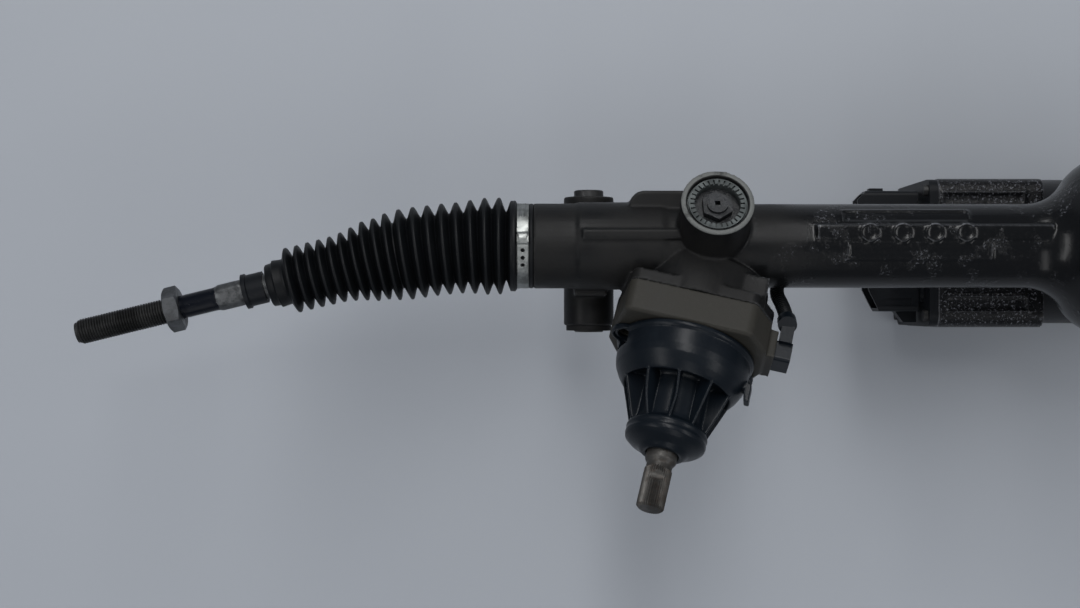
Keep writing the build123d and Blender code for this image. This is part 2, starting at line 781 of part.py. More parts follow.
def mount_sleeve():
    body = Cylinder(SLEEVE_BORE_R + SLEEVE_WALL, SLEEVE_FULL_LENGTH)
    body = chamfer(body.edges().filter_by(GeomType.CIRCLE), 0.6)
    body -= Cylinder(SLEEVE_BORE_R, SLEEVE_FULL_LENGTH)
    return Pos(EYE_X, EYE_Y, EYE_Z) * Rot(X=90) * body


def rim_bolts():
    """Where the cover bolts stand, as (y, z)."""
    round_rack = [
        (RIM_BOLT_R * cos(radians(a)), RIM_BOLT_R * sin(radians(a))) for a in RACK_BOLTS
    ]
    reach = COVER_SMALL_R + HEAD_R + 1.0
    round_motor = [
        (reach * cos(radians(a)), reach * sin(radians(a)) - MOTOR_DROP)
        for a in MOTOR_BOLTS
    ]
    return round_rack + round_motor


def flare():
    """Smooth bell from the tube to the drum of the ball nut."""
    middle = FLARE_X + FLARE_LENGTH / 2
    half_rise = (TUBE_R + DRUM_R) / 2
    start = (FLARE_X, TUBE_R)
    lower = TangentArc(start, (middle, half_rise), tangent=(1, 0))
    end = (FLARE_X + FLARE_LENGTH, DRUM_R)
    upper = TangentArc((middle, half_rise), end, tangent=lower % 1)
    edges = [
        Line((FLARE_X, 0), start),
        lower,
        upper,
        Line(end, (FLANGE_X, DRUM_R)),
        Line((FLANGE_X, DRUM_R), (FLANGE_X, 0)),
        Line((FLANGE_X, 0), (FLARE_X, 0)),
    ]
    return revolve(Face(Wire(edges)), axis=Axis.X)


def rack_housing():
    """Main casting: boot end, pinion and yoke towers, tube, bell and drive flange."""
    body = turned([*end_profile(), (FLARE_X + 1, TUBE_R), (FLARE_X + 1, 0)])
    body += flare()
    body += egg(FLANGE_X, FLANGE_X + FLANGE_THICK, RIM_R, FLOOR_BELOW_MOTOR)
    body += eye()
    tower = spun(
        [
            (0, LOWER_TOWER_END),
            (LOWER_TOWER_R - 6, LOWER_TOWER_END),
            (LOWER_TOWER_R, LOWER_TOWER_END + 8),
            (LOWER_TOWER_R, 4),
            (TOWER_R, TOWER_ROOT + 3),
            (TOWER_R, TOWER_TOP),
            (0, TOWER_TOP),
        ]
    )
    body += PINION * tower
    body += PINION * sensor_plate(TOWER_TOP - TOWER_FLANGE, TOWER_TOP)
    body += PINION * block(*TOWER_PAD)
    body += LEAN * (Rot(X=-90) * disc(0, YOKE_TOWER_TOP, YOKE_TOWER_R))
    body += block(*LEDGE)
    shoulder = block(*SHOULDER)
    corner = shoulder.edges().filter_by(Axis.Z).group_by(Axis.Y)[-1].sort_by(Axis.X)[0]
    body += fillet(corner, SHOULDER_CORNER_R)
    strip_x, strip_y0, strip_y1 = DISC_STRIP
    strip_top = TUBE_R + STRIP_HIGH
    body += block(strip_x, FLARE_X + 10, strip_y0, strip_y1, 0, strip_top)
    for x in DATE_DISCS:
        body += Pos(x, DISC_Y, 0) * disc(0, strip_top + 0.6, DISC_R + 1.1)
        body -= Pos(x, DISC_Y, 0) * disc(strip_top, strip_top + 1, DISC_R)
    for x0, x1, y0, y1 in TUBE_FRAMES:
        field = block(x0, x1, y0, y1, 0, 2 * TUBE_R)
        wall = FRAME_WALL
        field -= block(x0 + wall, x1 - wall, y0 + wall, y1 - wall, 0, 2 * TUBE_R)
        body += ring(x0, x1, TUBE_R + FRAME_HIGH) & field
    body += clip_boss()
    body -= end_bore()
    body -= ring(SOCKET_STOP, FLANGE_X + FLANGE_THICK, BAR_BORE_R)
    body -= ring(NUT_X - 4, NUT_BEARING_X, NUT_SHOULDER_R + 2)
    body -= ring(NUT_BEARING_X, FLANGE_X + FLANGE_THICK, NUT_BEARING_R)
    body -= at_motor(ring(FLANGE_X, FLANGE_X + FLANGE_THICK, SMALL_PULLEY_R + 5))
    body -= eye_bore()
    body -= PINION * disc(NEEDLE_AT + NEEDLE_LENGTH, BALL_BEARING_AT, PINION_TIP_R + 1)
    body -= PINION * disc(LOWER_TOWER_END, NEEDLE_AT + NEEDLE_LENGTH, NEEDLE_R)
    body -= PINION * disc(BALL_BEARING_AT, TOWER_TOP, BALL_BEARING_R)
    for angle in SENSOR_LUGS:
        place = PINION * Rot(Z=angle) * Pos(LUG_REACH, 0, 0)
        body -= place * disc(TOWER_TOP - SCREW_DEEP, TOWER_TOP, SENSOR_SCREW_R)
    body -= LEAN * (Rot(X=-90) * disc(4.0, YOKE_TOWER_TOP, YOKE_BORE_R))
    for y, z in rim_bolts():
        body -= Pos(0, y, z) * ring(FLANGE_X + 1, FLANGE_X + FLANGE_THICK, BOLT_R + FIT)
    for y, z in motor_bolt_places():
        body -= Pos(0, y, z) * ring(FLANGE_X, FLANGE_X + FLANGE_THICK - 1, BOLT_R + FIT)
    return body


def belt_cover():
    """Casting over the belt drive, with the far tube, boot end and mounting eye."""
    far = COVER_X + COVER_DEPTH
    body = egg(COVER_X, far, COVER_BIG_R, COVER_SMALL_R)
    body = fillet(body.edges().group_by(Axis.X)[-1], 6.0)
    body += egg(COVER_X, COVER_X + RIM_THICK, RIM_R, FLOOR_BELOW_MOTOR)
    tube_foot = 2 * MID_X - far + 1
    body += other_end(turned([*end_profile(), (tube_foot, TUBE_R), (tube_foot, 0)]))
    cone = [(far - 6, 44), (far, 42), (far + 16, 30), (far + 36, TUBE_R)]
    body += turned([(far - 6, 0), *cone, (far + 36, 0)])
    body += other_end(eye())
    for angle in (0, 60, 120, 180):
        corners = [(far - 1, 0), (far - 1, 45), (far + 34, TUBE_R), (far + 34, 0)]
        rib = make_face(Polyline(*corners, close=True))
        body += Rot(X=angle) * extrude(rib, amount=2.0, both=True)
    body -= egg(COVER_X, far - COVER_WALL, COVER_BIG_R - COVER_WALL, COVER_SMALL_R - COVER_WALL)
    body -= other_end(end_bore())
    body -= ring(COVER_X, 2 * MID_X - SOCKET_STOP, BAR_BORE_R)
    body -= other_end(eye_bore())
    for y, z in rim_bolts():
        body -= Pos(0, y, z) * ring(COVER_X, COVER_X + RIM_THICK, BOLT_R + GAP)
    return body


def hex_bolt(seat_x, tip_x, head_thick):
    """Flanged hexagon bolt along X, from its seat to its tip, its head on the other side."""
    away = 1 if seat_x > tip_x else -1
    shank = ring(*sorted((seat_x, tip_x)), BOLT_R)
    washer = ring(*sorted((seat_x, seat_x + 1.4 * away)), HEAD_R)
    flats = Plane.YZ.offset(seat_x) * RegularPolygon(0.82 * HEAD_R, 6)
    return shank + washer + extrude(flats, amount=head_thick * away)


def cover_bolts():
    """Nine bolts through the cover's rim."""
    top = COVER_X + RIM_THICK
    bolt = hex_bolt(top, FLANGE_X + 2, 6.0)
    return Compound([s for y, z in rim_bolts() for s in (Pos(0, y, z) * bolt).solids()])


def motor_bolt_places():
    """Where the three motor bolts stand, as (y, z)."""
    return [
        (MOTOR_EAR_R * cos(radians(a)), MOTOR_EAR_R * sin(radians(a)) - MOTOR_DROP)
        for a in (30.0, 150.0, 270.0)
    ]


def motor_housing():
    """Drawn can with a cast front end that carries the front bearing."""
    outer = turned(
        [
            (MOTOR_X, 0),
            (MOTOR_X, MOTOR_R),
            (MOTOR_X + CAN_LENGTH, MOTOR_R),
            (MOTOR_X + CAN_LENGTH + 2, MOTOR_R - CAN_STEP),
            (FLANGE_X - 16, MOTOR_R - CAN_STEP),
            (FLANGE_X - 12, MOTOR_R + 1),
            (FLANGE_X, MOTOR_R + 1),
            (FLANGE_X, 0),
        ]
    )
    inner = turned(
        [
            (MOTOR_X + MOTOR_WALL, REAR_BEARING_R + 4),
            (MOTOR_X + MOTOR_WALL, MOTOR_R - MOTOR_WALL),
            (MOTOR_X + CAN_LENGTH - 1, MOTOR_R - MOTOR_WALL),
            (MOTOR_X + CAN_LENGTH + 1, MOTOR_R - MOTOR_WALL - CAN_STEP),
            (FLANGE_X - 20, MOTOR_R - MOTOR_WALL - CAN_STEP),
            (FLANGE_X - 20, 0),
            (REAR_BEARING_X + REAR_BEARING_WIDTH, 0),
            (REAR_BEARING_X + REAR_BEARING_WIDTH, REAR_BEARING_R + 4),
        ]
    )
    body = outer - inner
    body -= ring(FLANGE_X - 20, FLANGE_X - 6, FRONT_BEARING_R)
    body -= ring(MOTOR_X, FLANGE_X, SHAFT_R + 2)
    body -= ring(REAR_BEARING_X, REAR_BEARING_X + REAR_BEARING_WIDTH, REAR_BEARING_R)
    body = at_motor(body)
    for y, z in motor_bolt_places():
        body -= Pos(0, y, z) * ring(FLANGE_X - 13, FLANGE_X, BOLT_R + GAP)
        body -= Pos(0, y, z) * ring(FLANGE_X - 20, FLANGE_X - 12, HEAD_R + 0.6)
    body -= block(MOTOR_X - 1, FLANGE_X + 1, -99, 99, FLOOR_Z - 20, FLOOR_Z)
    return body


def motor_bolts():
    """Three bolts that hold the motor to the drive flange."""
    bolt = hex_bolt(FLANGE_X - 12, FLANGE_X + FLANGE_THICK - 2, 5.0)
    places = motor_bolt_places()
    return Compound([s for y, z in places for s in (Pos(0, y, z) * bolt).solids()])


def motor_bearings():
    """Rear and front ball bearing of the motor shaft."""
    along = Rot(Y=90)
    rear = Pos(REAR_BEARING_X, 0, 0) * along
    front = Pos(FRONT_BEARING_X, 0, 0) * along
    pieces = [
        rear * ball_bearing(0, REAR_BEARING_WIDTH, REAR_BEARING_R, SHAFT_R + FIT),
        front * ball_bearing(0, FRONT_BEARING_WIDTH, FRONT_BEARING_R, SHAFT_R + FIT),
    ]
    return Compound([s for piece in pieces for s in at_motor(piece).solids()])


def motor_stator():
    """Laminated ring with twelve poles."""
    outer = MOTOR_R - MOTOR_WALL
    body = ring(STATOR_X, STATOR_X + STATOR_LENGTH, outer, outer - 6)
    pole = block(STATOR_X, STATOR_X + STATOR_LENGTH, -3, 3, ROTOR_R + 1.4, outer - 5)
    shoe = block(STATOR_X, STATOR_X + STATOR_LENGTH, -4.6, 4.6, ROTOR_R + 1.4, ROTOR_R + 3.6)
    for number in range(STATOR_TEETH):
        body += Rot(X=360 / STATOR_TEETH * number) * (pole + shoe)
    return at_motor(body)


def motor_rotor():
    return at_motor(ring(STATOR_X + 1, STATOR_X + STATOR_LENGTH - 1, ROTOR_R, SHAFT_R))


def motor_shaft():
    return at_motor(ring(REAR_BEARING_X + 0.5, PULLEY_X + PULLEY_WIDTH, SHAFT_R))


def motor_pulley():
    """Toothed pulley with two flanges."""
    body = ring(PULLEY_X, PULLEY_X + PULLEY_WIDTH, SMALL_PULLEY_R)
    body += ring(PULLEY_X - 1.6, PULLEY_X, SMALL_PULLEY_R + PULLEY_FLANGE)
    body += ring(PULLEY_X + PULLEY_WIDTH, PULLEY_X + PULLEY_WIDTH + 1.6, SMALL_PULLEY_R + PULLEY_FLANGE)
    body -= ring(PULLEY_X - 2, PULLEY_X + PULLEY_WIDTH + 2, SHAFT_R)
    return at_motor(body)


def ball_nut():
    """Ball nut with its shoulder against the bearing."""
    end = NUT_X + NUT_LENGTH
    body = ring(NUT_X, NUT_BEARING_X, NUT_SHOULDER_R) + ring(NUT_BEARING_X, end, NUT_R)
    body -= ring(NUT_X, end, BAR_R + GAP)
    return body


def nut_pulley():
    return ring(PULLEY_X, PULLEY_X + PULLEY_WIDTH, BIG_PULLEY_R, NUT_R)


def nut_bearing():
    """Four-point ball bearing that carries the nut."""
    body = ball_bearing(0, NUT_BEARING_WIDTH, NUT_BEARING_R, NUT_R + FIT)
    return Pos(NUT_BEARING_X, 0, 0) * Rot(Y=90) * body


def bearing_lock_ring():
    low = NUT_BEARING_X + NUT_BEARING_WIDTH
    return ring(low, low + 6, NUT_BEARING_R, NUT_BEARING_R - 9)


def drive_belt():
    """Toothed belt, a closed loop round both pulleys."""
    low, high = PULLEY_X + 1, PULLEY_X + PULLEY_WIDTH - 1
    outer = egg(low, high, BIG_PULLEY_R + GAP + BELT_THICK, SMALL_PULLEY_R + GAP + BELT_THICK)
    return outer - egg(low, high, BIG_PULLEY_R + GAP, SMALL_PULLEY_R + GAP)


# ---------------------------------------------------------------- control unit


def rounded_bar(x0, x1, width, height, corner):
    """A rounded box section about the control unit's middle, from x0 to x1."""
    section = Plane.YZ.offset(x0) * Pos(UNIT_Y, UNIT_Z) * RectangleRounded(width, height, corner)
    return extrude(section, amount=x1 - x0)


def ecu_housing():
    """Cast case with two bare label frames on its upper face, open towards the lid."""
    body = rounded_bar(UNIT_X, MOTOR_X, UNIT_WIDTH, UNIT_HEIGHT, UNIT_CORNER_R)
    inner = (UNIT_WIDTH - 2 * UNIT_WALL, UNIT_HEIGHT - 2 * UNIT_WALL, UNIT_CORNER_R - UNIT_WALL)
    body -= rounded_bar(UNIT_X, MOTOR_X - CASE_BACK, *inner)
    body -= at_motor(ring(MOTOR_X - CASE_BACK, MOTOR_X, 2 * SHAFT_R))
    top = UNIT_Z + UNIT_HEIGHT / 2
    for x0, x1, y0, y1 in LABEL_FRAMES:
        frame = block(UNIT_X + x0, UNIT_X + x1, y0, y1, top - 1, top + FRAME_HIGH)
        field = (UNIT_X + x0 + FRAME_WALL, UNIT_X + x1 - FRAME_WALL, y0 + FRAME_WALL, y1 - FRAME_WALL)
        body += frame - block(*field, top, top + FRAME_HIGH)
    for y, z in ecu_screw_places():
        body += Pos(0, y, z) * ring(UNIT_X, UNIT_X + 12, 4.0)
        body -= Pos(0, y, z) * ring(UNIT_X, UNIT_X + 10, 1.8)
    return body


def ecu_screw_places():
    """Corners of the lid where its four screws go, as (y, z)."""
    reach_y, reach_z = UNIT_WIDTH / 2 - 7, UNIT_HEIGHT / 2 - 7
    return [(UNIT_Y + sy * reach_y, UNIT_Z + sz * reach_z) for sy in (-1, 1) for sz in (-1, 1)]


def ecu_cover():
    """Moulded lid with a raised field."""
    body = rounded_bar(LID_X + 2, UNIT_X, UNIT_WIDTH - 1, UNIT_HEIGHT - 1, UNIT_CORNER_R - 0.5)
    body += rounded_bar(LID_X, UNIT_X, UNIT_WIDTH - 30, UNIT_HEIGHT - 30, UNIT_CORNER_R - 4)
    body -= rounded_bar(LID_X + 3, UNIT_X, UNIT_WIDTH - 36, UNIT_HEIGHT - 36, UNIT_CORNER_R - 6)
    for y, z in ecu_screw_places():
        body -= Pos(0, y, z) * ring(LID_X, UNIT_X, 2.1)
    return body


def ecu_screws():
    screws = []
    for y, z in ecu_screw_places():
        screw = ring(LID_X + 2 - 2.6, LID_X + 2, 3.4) + ring(LID_X + 2, UNIT_X + 9, 1.8)
        screws += (Pos(0, y, z) * screw).solids()
    return Compound(screws)


def ecu_board():
    """Circuit board with its capacitors, held a little behind the lid."""
    x = UNIT_X + 6
    body = rounded_bar(x, x + 1.6, UNIT_WIDTH - 26, UNIT_HEIGHT - 26, 6)
    for y in (-22, -8, 6):
        body += Pos(0, UNIT_Y + y, UNIT_Z - 20) * ring(x + 1.6, x + 1.6 + CAP_LENGTH, CAP_R)
    body += block(x + 1.6, x + 4, UNIT_Y - 12, UNIT_Y + 12, UNIT_Z, UNIT_Z + 20)
    for sy in (-1, 1):
        for sz in (-1, 1):
            y, z = UNIT_Y + sy * 26, UNIT_Z + sz * 27
            body += Pos(0, y, z) * ring(x + 1.6, MOTOR_X - CASE_BACK, 2.4)
    return body


def shroud(depth, width, height, wall):
    """A connector shroud, open towards -X, with its back face at x = 0."""
    body = Pos(-depth / 2, 0, 0) * Box(depth, width, height)
    body = fillet(body.edges().filter_by(Axis.X), 3.0)
    hollow = Pos(-depth / 2 - 2, 0, 0) * Box(depth - 4, width - 2 * wall, height - 2 * wall)
    return body - hollow


def prism(corners, height):
    """A block of that height about z = 0 over corners in x and y."""
    return extrude(make_face(Polyline(*corners, close=True)), amount=height / 2, both=True)


def power_connector():
    """Two heavy blades in a shroud with a slanted mouth, a lock window and a latch."""
    side = -POWER_WIDTH / 2
    body = shroud(POWER_DEPTH, POWER_WIDTH, POWER_HEIGHT, 2.0)
    mouth = -POWER_DEPTH
    slant = [(mouth - 1, 1), (mouth, 1), (mouth + 7, side - 1), (mouth - 1, side - 1)]
    body -= prism(slant, 2 * POWER_HEIGHT)
    body -= block(-21, -4, side + 3.5, side + 8, POWER_HEIGHT / 2 - 0.8, POWER_HEIGHT)
    for y in (-4.8, 4.8):
        body += Pos(-11, y, 0) * Box(14, 6, 1.6)
    body += prism([(-13, side + 0.5), (0, side + 0.5), (0, side - 6.5), (-8, side - 6.5)], 9)
    return Pos(LID_X, UNIT_Y - UNIT_WIDTH / 2 + POWER_INSET, UNIT_Z + PLUG_RISE) * body


def signal_connector():
    """Twelve small pins in a slimmer shroud with one corner cut off and a latch tab."""
    side = SIGNAL_WIDTH / 2
    body = shroud(SIGNAL_DEPTH, SIGNAL_WIDTH, SIGNAL_HEIGHT, 1.8)
    mouth = -SIGNAL_DEPTH
    corner = [(mouth - 1, side - 6.6), (mouth + 6.5, side + 1), (mouth - 1, side + 1)]
    body -= prism(corner, 2 * SIGNAL_HEIGHT)
    for row in (-2.2, 2.2):
        for number in range(6):
            body += Pos(-9, 2.9 * (number - 2.5), row) * Box(10, 1.0, 1.0)
    body += block(-28, -20, side - 0.5, side + 1.6, -3.5, 3.5)
    return Pos(LID_X, UNIT_Y + UNIT_WIDTH / 2 - SIGNAL_INSET, UNIT_Z + PLUG_RISE) * body


# ---------------------------------------------------------------- sensor cable


def route_radii(points):
    """The largest arc that each corner's two runs leave room for."""
    radii = []
    for before, here, after in zip(points, points[1:], points[2:]):
        back, ahead = Vector(*here) - Vector(*before), Vector(*after) - Vector(*here)
        turn = radians(back.get_angle(ahead))
        radii.append(0.45 * min(back.length, ahead.length) / tan(turn / 2))
    return radii


def cable_path():
    return FilletPolyline(*CABLE_ROUTE, radius=route_radii(CABLE_ROUTE))


def sensor_cable():
    path = cable_path()
    print("cable radii", [round(radius, 1) for radius in route_radii(CABLE_ROUTE)])
    start = Plane(origin=path @ 0, z_dir=path % 0)
    tube = sweep(start * Circle(CABLE_R), path=path)
    print("cable volume ratio", tube.volume / (pi * CABLE_R**2 * path.length))
    return tube


def sensor_plug():
    """Angled plug: its cable end faces the cable, its side meets the sensor's boss."""
    end, toward = Vector(*CABLE_ROUTE[0]), Vector(*CABLE_ROUTE[0]) - Vector(*CABLE_ROUTE[1])
    boot = Plane(origin=end, z_dir=toward) * disc(0, 7, CABLE_R + 1.2)
    body = block(SENSOR_BOSS, SENSOR_BOSS + 9, -7.5, 9, TOWER_TOP + 4, SENSOR_TOP - 3)
    body = fillet(body.edges().filter_by(Axis.X), 2.0)
    collar = block(SENSOR_BOSS + 1, SENSOR_BOSS + 8, 5, 12, TOWER_TOP - 4, TOWER_TOP + 6)
    return boot + PINION * (body + collar)


def ecu_plug():
    end, toward = Vector(*CABLE_ROUTE[-1]), Vector(*CABLE_ROUTE[-1]) - Vector(*CABLE_ROUTE[-2])
    boot = Plane(origin=end, z_dir=toward) * disc(0, 6, CABLE_R + 1.2)
    body = block(LID_X - 11, LID_X, end.Y - 8, end.Y + 8, end.Z - 10, end.Z + 4)
    return boot + body


def clip_boss():
    """Cast boss under the tube that the cable clip is pressed into."""
    spot = cable_path() @ CLIP_SHARE
    return Pos(spot.X, spot.Y, 0) * disc(-TUBE_R - 2.5, -TUBE_R + 3, 4.5)


def cable_clip():
    """Moulded clip that holds the cable to the back of the tube."""
    path = cable_path()
    share = CLIP_SHARE
    spot = path @ share
    body = Plane(origin=spot, z_dir=path % share) * disc(-4, 4, CABLE_R + 2, CABLE_R + GAP)
    foot = Pos(spot.X, spot.Y, 0) * disc(spot.Z + CABLE_R + 1.2, -TUBE_R - 2.5, 3.2)
    return body + foot


# ---------------------------------------------------------------- ball joints, tie rods


def socket():
    """Inner joint socket about X, its mouth towards -X and its ball at zero."""
    cavity_r = SEAT_R + BALL_GAP
    front = (Sphere(BALL_R + BALL_GAP)) & block(-20, 0, -20, 20, -20, 20)
    back = (Sphere(cavity_r)) & block(-0.3, 20, -20, 20, -20, 20)
    body = turned(
        [
            (-SOCKET_FRONT, 0),
            (-SOCKET_FRONT, SOCKET_R - 2),
            (-SOCKET_FRONT + 4, SOCKET_R),
            (SOCKET_BACK - 7, SOCKET_R),
            (SOCKET_BACK - 7, SOCKET_R - 1.5),
            (SOCKET_BACK, SOCKET_R - 1.5),
            (SOCKET_BACK, STUD_R),
            (2 * SOCKET_BACK - 2, STUD_R),
            (2 * SOCKET_BACK - 2, 0),
        ]
    )
    mouth = turned(
        [
            (-SOCKET_FRONT, 0),
            (-SOCKET_FRONT, MOUTH_R),
            (-MOUTH_LIP_AT, MOUTH_LIP_R),
            (-MOUTH_LIP_AT + 4, 0),
        ]
    )
    body -= [front, back, mouth]
    for side in (-1, 1):
        body -= Pos(SOCKET_BACK - 3.5, 0, side * (SOCKET_R + 8.5)) * Box(6.99, 40, 20)
    return body


def ball_seat():
    """Moulded cup behind the ball."""
    edge = SEAT_R * sin(radians(24))
    inner = BALL_R + BALL_GAP

    def on(radius, x):
        return (x, sqrt(radius**2 - x**2))

    section = [
        Line(on(inner, edge), on(SEAT_R, edge)),
        ThreePointArc(on(SEAT_R, edge), on(SEAT_R, 0.8 * SEAT_R), (SEAT_R, 0)),
        Line((SEAT_R, 0), (inner, 0)),
        ThreePointArc((inner, 0), on(inner, 0.8 * inner), on(inner, edge)),
    ]
    return revolve(Face(Wire(section)), axis=Axis.X)


def tie_rod():
    """Ball stud, shank with spanner flats and thread, along -X from the ball."""
    thread_from = NUT_AT + NUT_THICK / 2 + 0.4
    shank = turned(
        [
            (0, 0),
            (0, NECK_R),
            (-22, NECK_R),
            (-34, ROD_R),
            (-128, ROD_R),
            (-129, ROD_WAIST_R),
            (-thread_from, ROD_WAIST_R),
            (-thread_from - 1, ROD_R),
            (-TIE_ROD_LENGTH + 1.4, ROD_R),
            (-TIE_ROD_LENGTH, ROD_R - 1.4),
            (-TIE_ROD_LENGTH, 0),
        ]
    )
    body = shank + Sphere(BALL_R)
    for side in (-1, 1):
        body -= Pos(-116, side * (ROD_R + 4.2), 0) * Box(12, 10, 20)
    return body


def jam_nut():
    nut = extrude(
        Plane.YZ.offset(-NUT_AT - NUT_THICK / 2) * RegularPolygon(NUT_FLATS / 2, 6, major_radius=False),
        amount=NUT_THICK,
    )
    cone = turned(
        [
            (-NUT_AT - NUT_THICK / 2, 0),
            (-NUT_AT - NUT_THICK / 2, NUT_FLATS / 2 - 0.2),
            (-NUT_AT - NUT_THICK / 2 + 1.4, NUT_FLATS / 2 + 2.4),
            (-NUT_AT + NUT_THICK / 2 - 1.4, NUT_FLATS / 2 + 2.4),
            (-NUT_AT + NUT_THICK / 2, NUT_FLATS / 2 - 0.2),
            (-NUT_AT + NUT_THICK / 2, 0),
        ]
    )
    nut = nut & cone
    return nut - ring(-NUT_AT - NUT_THICK, -NUT_AT + NUT_THICK, ROD_WAIST_R)


def cuff():
    """Moulded ring on the tie rod that carries the boot's small end."""
    return turned(
        [
            (-CUFF_AT, ROD_R),
            (-CUFF_AT, CUFF_R),
            (-CUFF_AT - CUFF_LENGTH + 2.6, CUFF_R),
            (-CUFF_AT - CUFF_LENGTH + 2.2, CUFF_R + 0.9),
            (-CUFF_AT - CUFF_LENGTH, CUFF_R + 0.9),
            (-CUFF_AT - CUFF_LENGTH, ROD_R),
        ]
    )


def on_ball(shape, ball_x, side):
    """Puts a tie-rod piece on its ball, drooping; side -1 is the left end."""
    placed = Rot(Z=DROOP) * shape
    if side > 0:
        placed = mirror(placed, about=Plane.YZ)
    return Pos(ball_x, 0, 0) * placed


# ---------------------------------------------------------------- boots
def boot_point(s, corner):
    """Place and heading on the boot's bent middle line, s from its big end."""
    radius = BOOT_BEND / tan(radians(DROOP / 2))
    straight = corner - BOOT_BEND
    arc = radius * radians(DROOP)
    if s <= straight:
        return (-s, 0.0), 0.0
    if s <= straight + arc:
        turn = (s - straight) / radius
        return (-straight - radius * sin(turn), -radius * (1 - cos(turn))), degrees(turn)
    rest = s - straight - arc
    turn = radians(DROOP)
    x = -straight - radius * sin(turn) - rest * cos(turn)
    y = -radius * (1 - cos(turn)) - rest * sin(turn)
    return (x, y), DROOP


def boot_slice(s, radius, corner, big_end):
    (x, y), heading = boot_point(s, corner)
    return Pos(big_end + x, y, 0) * Rot(Z=heading) * Rot(Y=-90) * Circle(radius)


def boot(ball_x, big_pitch, small_pitch):
    """Bellows: big rings at the housing, then a ramp, then small rings at the tie rod."""
    big_end = SPIGOT_X + SPIGOT_LENGTH
    corner = big_end - ball_x
    rings = [BOOT_BIG_R] * BIG_RINGS
    rings += [
        BOOT_BIG_R + (BOOT_SMALL_R - BOOT_BIG_R) * (k + 1) / (RAMP_RINGS + 1)
        for k in range(RAMP_RINGS)
    ]
    rings += [BOOT_SMALL_R] * SMALL_RINGS
    rings[1] = rings[2] = BOOT_BIG_R + 1.4
    first = 11.4
    collar = SPIGOT_R + 1.9
    outline = [(0, SLEEVE_R - 0.2), (2.4, SLEEVE_R - 0.2), (2.5, collar), (9.1, collar)]
    bores = [(0, SPIGOT_R), (SPIGOT_LENGTH + 0.1, SPIGOT_R)]
    s = first
    for number, radius in enumerate(rings):
        pitch = big_pitch if number < BIG_RINGS else small_pitch
        outline.append((s, radius))
        outline.append((s + pitch / 2, radius - BOOT_GROOVE))
        s += pitch
    turn_x = first + BIG_RINGS * big_pitch
    bend_loss = 2 * BOOT_BEND / tan(radians(DROOP / 2)) * radians(DROOP / 2) - 2 * BOOT_BEND
    end = corner + bend_loss + CUFF_AT - 0.3
    outline = [point for point in outline if point[0] < end - 5.5]
    outline += [(end - 4.5, CUFF_R + 3.0), (end, CUFF_R + 3.0)]
    inside = BOOT_BIG_R - BOOT_GROOVE - BOOT_WALL
    small_inside = BOOT_SMALL_R - BOOT_GROOVE - BOOT_WALL
    bores += [
        (SPIGOT_LENGTH + 0.6, inside),
        (corner - BOOT_BEND, inside),
        (corner - BOOT_BEND / 2, inside),
        (min(corner, turn_x - big_pitch) - 2, inside),
        (turn_x - big_pitch, inside),
        (turn_x + RAMP_RINGS * small_pitch, small_inside),
        (end - 6, small_inside),
        (end - 4, ROD_R + GAP),
        (end, ROD_R + GAP),
    ]
    return outline, bores, corner, big_end


def boot_solid(ball_x, big_pitch, small_pitch):
    outline, bores, corner, big_end = boot(ball_x, big_pitch, small_pitch)
    skin = loft([boot_slice(s, r, corner, big_end) for s, r in outline], ruled=True)
    hollow = loft([boot_slice(s, r, corner, big_end) for s, r in sorted(bores)], ruled=True)
    return skin - hollow


def boot_clamp():
    """Band clamp with a crimped ear."""
    high = SPIGOT_X + SPIGOT_LENGTH - 2.5
    collar = SPIGOT_R + 1.9
    band = ring(high - CLAMP_WIDTH, high, collar + CLAMP_THICK, collar)
    ear = block(high - CLAMP_WIDTH, high, -2.6, 2.6, collar + 0.2, collar + 4.0)
    ear -= block(high - CLAMP_WIDTH, high, -1.4, 1.4, collar + 1.2, collar + 2.8)
    ear -= ring(high - CLAMP_WIDTH - 1, high + 1, collar)
    return band + Rot(X=-29) * ear


# ---------------------------------------------------------------- bushes
def rack_bushes():
    low = SOCKET_STOP + 2
    return pair(ring(low, low + BUSH_LENGTH, BUSH_R, BAR_R + FIT))


def pair(shape):
    """The piece and its twin at the far end of the housing."""
    return Compound([*shape.solids(), *other_end(shape).solids()])


